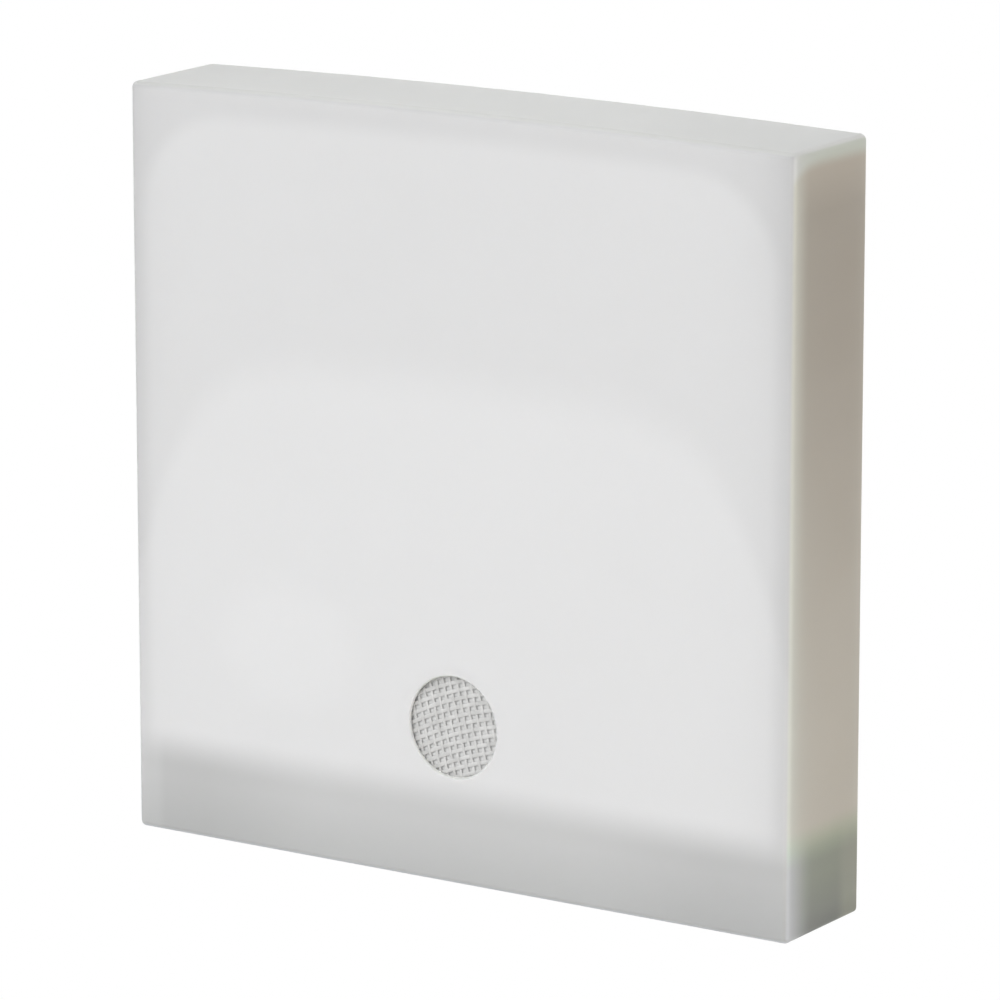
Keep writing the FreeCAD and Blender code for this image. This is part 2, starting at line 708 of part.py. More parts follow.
def make_wall_plate():
    """The back plate: rim, wall screw holes, top hooks, bottom bosses and the tamper hole."""
    body = new_body("wall_plate")
    inner = size.plate_thickness
    block = sketch(body, "sheet")
    arched(block, plate_half_width, -plate_half_height, plate_half_height)
    for side in (-1, 1):
        for level in (-1, 1):
            half = size.wall_hole_spacing / 2
            circle(block, half * side, half * level, size.wall_hole_diameter)
    circle(block, size.tamper_x, tamper_level, size.plunger_diameter + size.plunger_hole_gap * 2)
    pad(body, block, inner)

    def inner_hole_edge(edge, box):
        return circle_at(edge, box, size.wall_hole_diameter, inner)

    round_edges(body, inner_hole_edge, size.countersink, "PartDesign::Chamfer")

    rim = sketch(body, "rim", offset=inner)
    for shrink in (0, size.plate_rim_wall):
        arched(rim, plate_half_width - shrink, shrink - plate_half_height, plate_half_height - shrink)
    pad(body, rim, size.plate_rim_height)

    ribs = sketch(body, "ribs", offset=inner)
    rib_level = lower_edge + size.plate_rib_rise + size.plate_rib_length / 2
    for side in (-1, 1):
        for across in (size.plate_rib_inner, size.plate_rib_outer):
            centred(ribs, across * side, rib_level, size.plate_rib_wall, size.plate_rib_length)
    pad(body, ribs, size.plate_rib_height)

    # The hooks stand inside the rim and reach up in front of the shell's ribs
    hook_top = plate_half_height - size.plate_rim_wall
    lip_back = inner + size.plate_rim_height + size.fit_gap * 2 + size.hook_wall
    for side in (-1, 1):
        hook = sketch(body, f"hook{side + 2}", "YZ_Plane", size.hook_spacing / 2 * side)
        outline(
            hook,
            [
                (-inner, hook_top - size.hook_wall),
                (-inner, hook_top),
                (-lip_back, hook_top),
                (-lip_back, plate_half_height),
                (-lip_back - size.hook_wall, hook_top),
                (-lip_back - size.hook_wall, hook_top - size.hook_wall),
            ],
        )
        pad(body, hook, size.hook_width, both_ways=True)

    boss_depth = size.cover_screw_depth + size.screw_boss_width / 2
    boss = sketch(body, "bosses", offset=inner)
    for side in (-1, 1):
        centred(
            boss,
            size.cover_screw_spacing / 2 * side,
            size.screw_boss_length / 2 - plate_half_height,
            size.screw_boss_width,
            size.screw_boss_length,
        )
    pad(body, boss, boss_depth - inner)
    pilot = sketch(body, "pilots", "XY_Plane", -plate_half_height)
    for side in (-1, 1):
        circle(
            pilot,
            size.cover_screw_spacing / 2 * side,
            -size.cover_screw_depth,
            size.cover_screw_shank + size.thread_gap * 2,
        )
    pocket(body, pilot, size.screw_boss_length - size.bay_wall)


def make_main_board():
    """The printed circuit board, notched round the bottom bosses and drilled for what it carries."""
    body = new_body("main_board")
    half = board_half_width
    notch_top = size.screw_boss_length + size.notch_gap - plate_half_height
    notch_half = size.screw_boss_width / 2 + size.notch_gap
    points = [(-half, board_bottom)]
    for side in (-1, 1):
        across = size.cover_screw_spacing / 2 * side
        points += [
            (across - notch_half, board_bottom),
            (across - notch_half, notch_top),
            (across + notch_half, notch_top),
            (across + notch_half, board_bottom),
        ]
    points += [(half, board_bottom), (half, board_top), (-half, board_top)]
    block = sketch(body, "sheet", offset=board_back)
    outline(block, points)
    for side in (-1, 1):
        for level in post_levels:
            circle(block, post_x * side, level, size.board_screw_shank + size.screw_clearance * 2)
        pin_hole = size.sounder_pin_diameter + size.pin_gap * 2
        circle(block, size.sounder_pin_spacing / 2 * side, outlet_level, pin_hole)
    for low, high in (terminal_pin(size.positive_pin_drop), terminal_pin(size.negative_pin_drop)):
        middle = bay_half - size.contact_sheet / 2
        centred(
            block,
            middle,
            (low + high) / 2,
            size.contact_sheet + size.pin_gap * 2,
            size.contact_tail + size.pin_gap * 2,
        )
    pad(body, block, size.board_thickness)

    def corner(edge, box):
        return along_y(edge, box) and abs(abs(box.XMin) - half.value) < 1e-4

    round_edges(body, corner, size.board_corner)


def terminal_pin(drop):
    """The lowest and highest point of a terminal's pin, in the board below the bay."""
    low = board_top - drop - size.contact_tail
    return low, low + size.contact_tail


def contact_piece(name, plate, leaves, bosses):
    """A battery contact: a flat plate at one place across, with leaves and raised spots on it.

    plate gives the place across, the way its cells lie and its outlines; leaves and bosses
    give the height, the depth of the spring or the spot, and the way it faces.
    """
    across, outlines = plate
    body = new_body(name)
    block = sketch(body, "plate", "YZ_Plane", across)
    for points in outlines:
        outline(block, points)
    pad(body, block, size.contact_sheet)
    for index, (height, depth, way) in enumerate(leaves):
        foot = across + size.contact_sheet if way > 0 else across
        span = size.contact_width / 2
        flat = size.contact_width / 6
        sheet_metal = size.contact_sheet
        leaf = sketch(body, f"leaf{index}", "XY_Plane", height)
        outline(
            leaf,
            [
                (foot, -battery_depth - span),
                (foot + depth * way, -battery_depth - flat),
                (foot + depth * way, -battery_depth + flat),
                (foot, -battery_depth + span),
                (foot, -battery_depth + span - sheet_metal * 2),
                (foot + (depth - sheet_metal) * way, -battery_depth + flat - sheet_metal / 4),
                (foot + (depth - sheet_metal) * way, -battery_depth - flat + sheet_metal / 4),
                (foot, -battery_depth - span + sheet_metal * 2),
            ],
        )
        pad(body, leaf, size.leaf_width, both_ways=True)
    for index, (height, way) in enumerate(bosses):
        foot = across + size.contact_sheet if way > 0 else across
        spot = sketch(body, f"spot{index}", "YZ_Plane", foot)
        circle(spot, -battery_depth, height, size.contact_boss_diameter)
        pad(body, spot, size.contact_boss, backwards=way < 0)
    return body


def plate_outline(low, high):
    """A contact plate that stands on the frame, from one height to another."""
    foot = -frame_back + size.fit_gap
    head = -battery_depth + size.contact_width / 2
    return [(foot, low), (head, low), (head, high), (foot, high)]


def make_contacts():
    """The link at the left, the two terminals at the right and the two bridges between cells."""
    half = size.contact_width / 2
    low, high = battery_row_low, battery_row_high
    left = -bay_half
    right = bay_half - size.contact_sheet
    contact_piece(
        "battery_link",
        (left, [plate_outline(low - half, high + half)]),
        [(high, size.leaf_depth, 1)],
        [(low, 1)],
    )

    head = -battery_depth + half
    pin_low, pin_high = terminal_pin(size.negative_pin_drop)
    foot = -frame_back + size.fit_gap
    tail_front = -board_front - size.contact_tail
    negative = [
        (foot, low - half),
        (tail_front, low - half),
        (tail_front, pin_low),
        (-board_back + size.pin_stub, pin_low),
        (-board_back + size.pin_stub, pin_high),
        (-board_front, pin_high),
        (-board_front, low - half),
        (head, low - half),
        (head, low + half),
        (foot, low + half),
    ]
    contact_piece("battery_terminal_negative", (right, [negative]), [(low, size.leaf_depth, -1)], [])

    pin_low, pin_high = terminal_pin(size.positive_pin_drop)
    tail_back = -size.plate_thickness - size.tail_gap
    tail = tail_back - size.contact_tail
    positive = [
        (foot, high - half),
        (tail, high - half),
        (tail, pin_high),
        (-board_front - size.pin_stub, pin_high),
        (-board_front - size.pin_stub, pin_low),
        (tail_back, pin_low),
        (tail_back, high + half),
        (foot, high + half),
    ]
    contact_piece("battery_terminal_positive", (right, [positive]), [], [(high, -1)])

    between = battery_far_end + size.battery_length
    for index, (row, way) in enumerate(((high, 1), (low, -1)), start=1):
        across = between if way > 0 else -between - size.contact_sheet
        contact_piece(
            f"battery_bridge_{index}",
            (across, [plate_outline(row - half, row + half)]),
            [(row, size.bridge_leaf_depth, way)],
            [],
        )


def make_batteries():
    """Four round cells, two in line in each row, the lower row turned end for end."""
    places = [
        (battery_far_end, battery_row_high, 1),
        (battery_near_end, battery_row_high, 1),
        (-battery_far_end, battery_row_low, -1),
        (-battery_near_end, battery_row_low, -1),
    ]
    radius, nub = size.battery_diameter / 2, size.battery_nub_diameter / 2
    shoulder = size.battery_length - size.battery_nub_height
    bead = size.battery_play
    points = [
        (0, 0),
        (0, radius),
        (shoulder - bead * 2, radius),
        (shoulder, radius - bead * 2),
        (shoulder, nub),
        (size.battery_length, nub),
        (size.battery_length, 0),
    ]
    for index, (start, row, way) in enumerate(places, start=1):
        body = new_body(f"battery_{index}")
        profile = sketch(body, "profile", "XY_Plane")
        outline(profile, points)
        revolve(body, profile, "H_Axis")
        place(body, start, battery_depth, row, Rotation(Vector(0, 0, 1), 0 if way > 0 else 180))


def make_sounder():
    """The piezo sounder: case, cap, brass disc, ceramic, pins and the foam ring in front."""
    radius = size.sounder_diameter / 2
    bore = radius - size.sounder_wall
    ledge = bore - size.sounder_ledge
    outlet = size.sounder_outlet / 2
    front = gasket_back - size.sounder_front
    middle = outlet_level
    case = turned(
        "sounder_case",
        [
            (outlet, -gasket_back),
            (radius, -gasket_back),
            (radius, -sounder_back),
            (bore, -sounder_back),
            (bore, -piezo_front),
            (ledge, -piezo_front),
            (ledge, -front),
            (outlet, -front),
        ],
        0,
        middle,
    )

    def outer_rim(edge, box):
        return circle_at(edge, box, size.sounder_diameter, gasket_back)

    round_edges(case, outer_rim, size.sounder_bevel, "PartDesign::Chamfer")

    spigot = bore - size.running_gap
    spigot_end = sounder_back + size.sounder_front
    cap = turned(
        "sounder_cap",
        [
            (0, -board_front),
            (radius, -board_front),
            (radius, -sounder_back),
            (spigot, -sounder_back),
            (spigot, -spigot_end),
            (spigot - size.sounder_wall, -spigot_end),
            (spigot - size.sounder_wall, -sounder_back),
            (0, -sounder_back),
        ],
        0,
        middle,
    )
    holes = sketch(cap, "pin_holes", offset=board_front)
    for side in (-1, 1):
        circle(holes, size.sounder_pin_spacing / 2 * side, 0, size.sounder_pin_diameter)
    pocket(cap, holes, size.sounder_cap_thickness)

    pins = []
    for side in (-1, 1):
        pin = doc.addObject("Part::Cylinder", f"sounder_pin_{side + 2}")
        bind(pin, "Radius", size.sounder_pin_diameter / 2)
        bind(pin, "Height", sounder_back - board_back + size.pin_stub)
        place(
            pin,
            size.sounder_pin_spacing / 2 * side,
            board_back - size.pin_stub,
            middle,
            Rotation(Vector(1, 0, 0), 90),
        )
        pins.append(pin)
    group("sounder_pins", pins)

    disc = bore - size.piezo_play
    piezo_back = piezo_front - size.piezo_thickness
    ceramic_back = piezo_back - size.ceramic_thickness
    for name, edge, back, face in (
        ("piezo_disc", disc, piezo_back, piezo_front),
        ("piezo_ceramic", size.ceramic_diameter / 2, ceramic_back, piezo_back),
    ):
        turned(name, [(0, -back), (edge, -back), (edge, -face), (0, -face)], 0, middle)

    ring = size.chassis_outlet / 2
    ring_outer = ring + size.gasket_width
    turned(
        "sounder_gasket",
        [(ring, -gasket_back), (ring_outer, -gasket_back), (ring_outer, -frame_back), (ring, -frame_back)],
        0,
        middle,
    )


def group(name, parts):
    """Several separate solids that share one node."""
    made = doc.addObject("Part::Compound", name)
    made.Label = name
    made.Links = parts
    doc.recompute()
    pieces.append(made)


def screw(name, shank, length, head, head_height):
    """A pan-head screw along its own Z, head down, with a cross recess; its thread is left out."""
    body = doc.addObject("PartDesign::Body", name)
    profile = sketch(body, "profile", "XZ_Plane")
    outline(
        profile,
        [
            (0, -head_height),
            (head / 2 - head_height * (1 - size.head_side), -head_height),
            (head / 2, -head_height * size.head_side),
            (head / 2, 0),
            (shank / 2, 0),
            (shank / 2, length),
            (0, length),
        ],
    )
    revolve(body, profile)
    cross = sketch(body, "cross", "XY_Plane", -head_height)
    arm, slot = head * size.cross_reach, head * size.cross_width
    outline(
        cross,
        [
            (-arm, -slot), (-slot, -slot), (-slot, -arm), (slot, -arm), (slot, -slot), (arm, -slot),
            (arm, slot), (slot, slot), (slot, arm), (-slot, arm), (-slot, slot), (-arm, slot),
        ],
    )
    pocket(body, cross, head_height * size.head_side)
    return body


def make_screws():
    """The two screws through the bottom wall and the four that hold the board."""
    screws = []
    seat = lower_edge + size.cover_screw_head_height + size.recess_margin
    for side in (-1, 1):
        body = screw(
            f"cover_screw_{side + 2}",
            size.cover_screw_shank,
            size.cover_screw_length,
            size.cover_screw_head,
            size.cover_screw_head_height,
        )
        place(body, size.cover_screw_spacing / 2 * side, size.cover_screw_depth, seat)
        screws.append(body)
    group("cover_screws", screws)

    screws = []
    for side in (-1, 1):
        for index, level in enumerate(post_levels):
            body = screw(
                f"board_screw_{side + 2}_{index}",
                size.board_screw_shank,
                size.board_screw_length,
                size.board_screw_head,
                size.board_screw_head_height,
            )
            turn = Rotation(Vector(1, 0, 0), 90)
            place(body, post_x * side, board_back, level, turn)
            screws.append(body)
    group("board_screws", screws)


def make_switches():
    """The tamper switch with its plunger and the learn switch with its button, behind the board."""
    half = size.switch_side / 2
    bore = size.plunger_diameter / 2 + size.running_gap
    case_back = board_back - size.tamper_height
    bore_depth = size.plunger_hold + size.tamper_travel + size.running_gap * 2
    case = new_body("tamper_switch")
    block = sketch(case, "block", offset=case_back)
    centred(block, size.tamper_x, tamper_level, half * 2, half * 2)
    pad(case, block, size.tamper_height)
    well = sketch(case, "well", offset=case_back)
    circle(well, size.tamper_x, tamper_level, bore * 2)
    pocket(case, well, bore_depth)

    radius, tip = size.plunger_diameter / 2, size.plunger_tip_rounding
    held = case_back + size.plunger_hold
    turned(
        "tamper_plunger",
        [
            (0, -held),
            (radius, -held),
            (radius, size.tamper_travel - tip),
            (radius - tip * 0.3, size.tamper_travel - tip * 0.3),
            (radius - tip, size.tamper_travel),
            (0, size.tamper_travel),
        ],
        size.tamper_x,
        tamper_level,
    )

    learn_back = board_back - size.learn_height
    button = size.learn_button_diameter / 2
    case = new_body("learn_switch")
    block = sketch(case, "block", offset=learn_back)
    centred(block, size.learn_x, learn_level, half * 2, half * 2)
    pad(case, block, size.learn_height)
    well = sketch(case, "well", offset=learn_back)
    circle(well, size.learn_x, learn_level, (button + size.running_gap) * 2)
    pocket(case, well, size.learn_button_hold + size.learn_travel + size.running_gap)
    inner_end = learn_back + size.learn_button_hold
    outer_end = inner_end - size.learn_button_height
    edge = size.running_gap * 4
    turned(
        "learn_button",
        [
            (0, -inner_end),
            (button, -inner_end),
            (button, -outer_end - edge),
            (button - edge, -outer_end),
            (0, -outer_end),
        ],
        size.learn_x,
        learn_level,
    )


def on_board(name, x, height, length, width, tall, chamfer=None):
    """A rectangular component that stands on the board's front."""
    body = new_body(name)
    block = sketch(body, "block", offset=board_front)
    centred(block, x, height, length, width)
    pad(body, block, tall)
    if chamfer:
        top = -(board_front + tall).value
        round_edges(
            body,
            lambda edge, box: abs(box.YMin - top) < 1e-4 and abs(box.YMax - top) < 1e-4,
            chamfer,
            "PartDesign::Chamfer",
        )
    return body


def make_power_parts():
    """The step-up coil, the reservoir capacitors, the power transistors and the diodes."""
    coil_x = size.coil_inset - board_half_width
    coil_level = board_bottom + size.coil_rise
    radius, neck = size.coil_diameter / 2, size.coil_neck / 2
    top = board_front + size.coil_height
    flange = size.coil_flange
    turned(
        "step_up_core",
        [
            (0, -board_front),
            (radius, -board_front),
            (radius, -board_front - flange),
            (neck, -board_front - flange),
            (neck, flange - top),
            (radius, flange - top),
            (radius, -top),
            (0, -top),
        ],
        coil_x,
        coil_level,
    )
    winding = size.coil_winding / 2
    turned(
        "step_up_winding",
        [
            (neck, -board_front - flange),
            (winding, -board_front - flange),
            (winding, flange - top),
            (neck, flange - top),
        ],
        coil_x,
        coil_level,
    )

    radius = size.capacitor_diameter / 2
    top = board_front + size.capacitor_height
    waist, bead = size.capacitor_diameter / 16, size.capacitor_diameter / 8
    for index in (1, 2):
        turned(
            f"capacitor_{index}",
            [
                (0, -board_front),
                (radius, -board_front),
                (radius, -board_front - bead),
                (radius - waist, -board_front - bead * 1.5),
                (radius, -board_front - bead * 2),
                (radius, -top),
                (0, -top),
            ],
            size.capacitor_inset + size.capacitor_step * (index - 1) - board_half_width,
            board_bottom + size.capacitor_rise,
        )

    for index in (1, 2):
        x = -size.transistor_left
        height = board_bottom + size.transistor_rise + size.transistor_step * (index - 1)
        body = on_board(
            f"driver_transistor_{index}",
            x,
            height,
            size.transistor_length,
            size.transistor_width,
            size.transistor_height,
        )
        tab = sketch(body, "tab", offset=board_front)
        for side, width in ((-1, 0.8), (1, 0.25)):
            reach = size.transistor_length / 2 * side
            centred(
                tab, x + reach, height, size.transistor_length / 4, size.transistor_width * width
            )
        pad(body, tab, size.lead_sheet * 2)

    for index in (1, 2):
        x = size.diode_step * (index - 1) - size.diode_left
        height = board_bottom + size.diode_rise
        body = on_board(
            f"diode_{index}",
            x,
            height,
            size.diode_width,
            size.diode_length,
            size.diode_height,
            size.lead_sheet,
        )
        tab = sketch(body, "ends", offset=board_front)
        centred(tab, x, height, size.diode_width / 2, size.diode_length + size.lead_reach)
        pad(body, tab, size.lead_sheet * 2)


def make_logic_parts():
    """The microcontroller, the driver chip, the flash lamps and the radio with its antenna."""
    chip_level = board_bottom + size.chip_rise
    chip = on_board(
        "microcontroller",
        size.chip_right,
        chip_level,
        size.chip_side,
        size.chip_side,
        size.chip_height,
        size.lead_sheet / 2,
    )
    dot = sketch(chip, "dot", offset=board_front + size.chip_height)
    corner = size.chip_side / 3
    circle(dot, size.chip_right - corner, chip_level + corner, size.lead_pitch / 2)
    pocket(chip, dot, size.lead_sheet / 2, to_front=False)

    driver = new_body("driver_chip")
    block = sketch(driver, "block", offset=size.lead_sheet)
    centred(block, 0, 0, size.driver_length, size.driver_width)
    pad(driver, block, size.driver_height - size.lead_sheet)
    inside, knee = size.driver_width / 2, size.driver_width / 2 + size.lead_reach / 2
    tip, metal, rise = size.driver_width / 2 + size.lead_reach, size.lead_sheet, size.driver_height / 2
    first_lead = sketch(driver, "leads", "YZ_Plane", size.lead_pitch * -1.5 - size.lead_width / 2)
    for side in (-1, 1):
        outline(
            first_lead,
            [
                (-rise, (inside - metal) * side),
                (-rise, knee * side),
                (-metal, knee * side),
                (-metal, tip * side),
                (0, tip * side),
                (0, (knee - metal) * side),
                (metal - rise, (knee - metal) * side),
                (metal - rise, (inside - metal) * side),
            ],
        )
    lead = pad(driver, first_lead, size.lead_width)
    row = driver.newObject("PartDesign::LinearPattern", "driver_chip_rows")
    row.Originals = [lead]
    row.Direction = (first_lead, ["N_Axis"])
    row.Occurrences = 4
    bind(row, "Length", size.lead_pitch * 3)
    driver.Tip = row
    place(driver, -size.driver_left, board_front, board_bottom + size.driver_rise)

    lamp_level = board_bottom + size.led_rise
    outer_lamp = board_half_width - size.led_inset
    lamp_places = (-outer_lamp, -size.led_inner, size.led_inner, outer_lamp)
    for index, x in enumerate(lamp_places, start=1):
        body = on_board(
            f"flash_led_{index}", x, lamp_level, size.led_length, size.led_width, size.led_height
        )
        well = sketch(body, "well", offset=board_front + size.led_height)
        circle(well, x, lamp_level, size.led_lens)
        pocket(body, well, size.led_height / 4, to_front=False)

    radio_x, radio_height = board_half_width - size.radio_inset, board_bottom + size.radio_rise
    on_board(
        "radio_board", radio_x, radio_height, size.radio_length, size.radio_width, size.radio_thickness
    )
    can_foot = board_front + size.radio_thickness
    can = new_body("radio_shield")
    block = sketch(can, "block", offset=can_foot)
    centred(block, radio_x, radio_height, size.shield_length, size.shield_width)
    pad(can, block, size.shield_height)
    inside = sketch(can, "inside", offset=can_foot)
    centred(
        inside,
        radio_x,
        radio_height,
        size.shield_length - size.shield_wall * 2,
        size.shield_width - size.shield_wall * 2,
    )
    pocket(can, inside, size.shield_height - size.shield_wall)

    antenna = new_body("antenna_wire")
    start_x = radio_x - size.radio_length / 2 + size.antenna_wire_diameter
    wire_height = radio_height + size.radio_width / 2 - size.antenna_wire_diameter
    path = sketch(antenna, "path", "XY_Plane", wire_height)
    foot, top = -can_foot, -can_foot - size.antenna_rise
    bend = size.antenna_bend
    rise_line = Part.LineSegment(
        Vector(start_x.value, foot.value, 0), Vector(start_x.value, (top + bend).value, 0)
    )
    run_line = Part.LineSegment(
        Vector((start_x - bend).value, top.value, 0),
        Vector((start_x - bend - size.antenna_run).value, top.value, 0),
    )
    corner = Part.ArcOfCircle(
        Part.Circle(Vector((start_x - bend).value, (top + bend).value, 0), Vector(0, 0, 1), bend.value),
        math.radians(270),
        math.radians(360),
    )
    for geometry in (rise_line, corner, run_line):
        path.addGeometry(geometry, False)
    path.addConstraint(Sketcher.Constraint("Coincident", 0, 2, 1, 2))
    path.addConstraint(Sketcher.Constraint("Coincident", 1, 1, 2, 1))
    hold_point(path, "foot", 0, 1, (start_x, foot))
    hold_point(path, "rise", 0, 2, (start_x, top + bend))
    hold_point(path, "run", 2, 1, (start_x - bend, top))
    hold_point(path, "end", 2, 2, (start_x - bend - size.antenna_run, top))
    path.renameConstraint(path.addConstraint(Sketcher.Constraint("Radius", 1, bend.value)), "bend")
    bind(path, "Constraints.bend", bend)
    section = sketch(antenna, "section", offset=can_foot)
    circle(section, start_x, wire_height, size.antenna_wire_diameter)
    pipe = antenna.newObject("PartDesign::AdditivePipe", "antenna_wire_pipe")
    pipe.Profile = section
    pipe.Spine = (path, ["Edge1", "Edge2", "Edge3"])
    doc.recompute()


make_front_cover()
make_sounder_mesh()
make_mesh_backing()
make_chassis()
make_wall_plate()
make_main_board()
make_contacts()
make_batteries()
make_sounder()
make_screws()
make_switches()
make_power_parts()
make_logic_parts()
doc.recompute()

failed = [item.Name for item in doc.Objects if {"Invalid", "Error"} & set(item.State)]
if failed:
    raise RuntimeError(f"these features failed: {failed}")
for piece in pieces:
    if piece.Shape.isNull() or not piece.Shape.isValid() or not piece.Shape.Solids:
        raise RuntimeError(f"{piece.Label} has no valid solid")

os.makedirs("parts", exist_ok=True)
for piece in pieces:
    piece.Shape.exportStep(f"parts/{piece.Label}.step")
print(f"{len(pieces)} pieces written")
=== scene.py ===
import json
import math
import random

import bmesh
import bpy
from mathutils import Matrix, Vector


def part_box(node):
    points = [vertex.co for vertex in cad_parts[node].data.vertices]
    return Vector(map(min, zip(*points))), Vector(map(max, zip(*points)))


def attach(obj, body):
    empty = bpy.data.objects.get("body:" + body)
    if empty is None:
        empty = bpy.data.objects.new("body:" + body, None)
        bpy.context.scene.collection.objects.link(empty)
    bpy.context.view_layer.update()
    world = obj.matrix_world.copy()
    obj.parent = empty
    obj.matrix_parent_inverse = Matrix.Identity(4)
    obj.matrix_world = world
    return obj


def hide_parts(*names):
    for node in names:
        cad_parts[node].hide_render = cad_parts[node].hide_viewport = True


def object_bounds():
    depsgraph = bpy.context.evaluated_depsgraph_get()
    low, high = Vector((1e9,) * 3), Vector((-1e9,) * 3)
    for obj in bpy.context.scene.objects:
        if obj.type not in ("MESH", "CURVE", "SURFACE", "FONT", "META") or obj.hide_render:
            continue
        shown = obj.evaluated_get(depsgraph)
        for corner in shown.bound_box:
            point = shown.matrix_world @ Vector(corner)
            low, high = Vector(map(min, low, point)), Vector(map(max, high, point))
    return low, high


# Indoor alarm siren, in metres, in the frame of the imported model: the origin is the middle of
# the back, +X is to the right seen from the front, +Z is up and the face looks along -Y.

MM = 0.001

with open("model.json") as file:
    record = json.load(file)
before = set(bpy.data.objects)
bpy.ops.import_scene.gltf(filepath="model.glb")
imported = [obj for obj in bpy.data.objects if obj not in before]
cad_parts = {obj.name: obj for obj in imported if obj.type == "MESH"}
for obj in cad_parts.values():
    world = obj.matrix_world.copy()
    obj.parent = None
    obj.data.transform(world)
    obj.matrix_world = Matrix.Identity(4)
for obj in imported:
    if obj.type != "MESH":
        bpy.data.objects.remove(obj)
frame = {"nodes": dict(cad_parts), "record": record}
cad_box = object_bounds()
nodes = frame["nodes"]

# Camera, as shares of the shell's width from the middle of its back
VIEW_YAW = math.radians(33.21)
VIEW_PITCH = math.radians(13.00)
VIEW_DISTANCE = 8.3648
VIEW_ACROSS = -0.0332
VIEW_UP = -0.0254

# Lens: the sensor's width in mm, and the focal length as a share of it
SENSOR = 36.0
LENS_SHARE = 6.4770

# Light: the world's level, and each lamp's name, place, side, power and colour
WORLD_LEVEL = 0.42
LAMPS = (
    ("key", (-0.18, -1.00, 0.72), 0.8, 9.0, (1.0, 1.0, 1.0)),
    ("warm", (0.60, -0.05, -0.30), 0.4, 1.6, (1.0, 0.92, 0.80)),
    ("rear", (0.3, 1.2, 0.7), 0.8, 1.5, (1.0, 1.0, 1.0)),
)

# Floor: how far below the siren, how far it reaches, where its shadow gives way to white, and its tones
FLOOR_DROP = 0.30
FLOOR_REACH = 6.0
FLOOR_SHADOW_TO = 0.35
FLOOR_WHITE_FROM = 0.9
FLOOR_SHADOW_WHITE = 0.5
FLOOR_DARK = (0.84, 0.84, 0.83)
FLOOR_LIGHT = (0.88, 0.88, 0.87)

# Woven wire mesh: one of its gaps, seen from the outlet's centre, and the steps from there
GAP_ACROSS = -2.60 * MM
GAP_UP = -0.16 * MM
ROW_TURN = math.radians(22.5)
COLUMN_STEP = 1.28 * MM
COLUMN_LEAN = math.radians(13.3)
ROW_STEP = 1.307 * MM
ROW_BOW = 0.0142 * MM
ROW_WIRE_WIDTH = 0.64 * MM
COLUMN_WIRE_WIDTH = 0.50 * MM
ROW_WAVE = 0.02 * MM
COLUMN_WAVE = 0.045 * MM
WIRE_DEPTH = 0.10 * MM
MESH_SINK = 0.11 * MM
WIRE_SIDES = 10
WIRE_STEPS = 8
MESH_REACH = 12
MESH_WAVER = 0.03 * MM
MESH_WAVER_RUN = 3.1
MESH_SEED = 7


def new_object(name, mesh):
    """Links a mesh object and smooths its faces."""
    made = bpy.data.objects.new(name, mesh)
    bpy.context.scene.collection.objects.link(made)
    for face in mesh.polygons:
        face.use_smooth = True
    return made


# Noise: its roughness, and the values that it mostly has
NOISE_ROUGHNESS = 0.55
NOISE_LOW = 0.3
NOISE_HIGH = 0.7

# How much faster than its scale Blender's wave texture turns
WAVE_TURN = 20

# Names of the shader's sockets that hold one value all over a surface
SOCKETS = {
    "metallic": "Metallic",
    "ior": "IOR",
    "subsurface_weight": "Subsurface Weight",
    "subsurface_scale": "Subsurface Scale",
    "subsurface_radius": "Subsurface Radius",
}


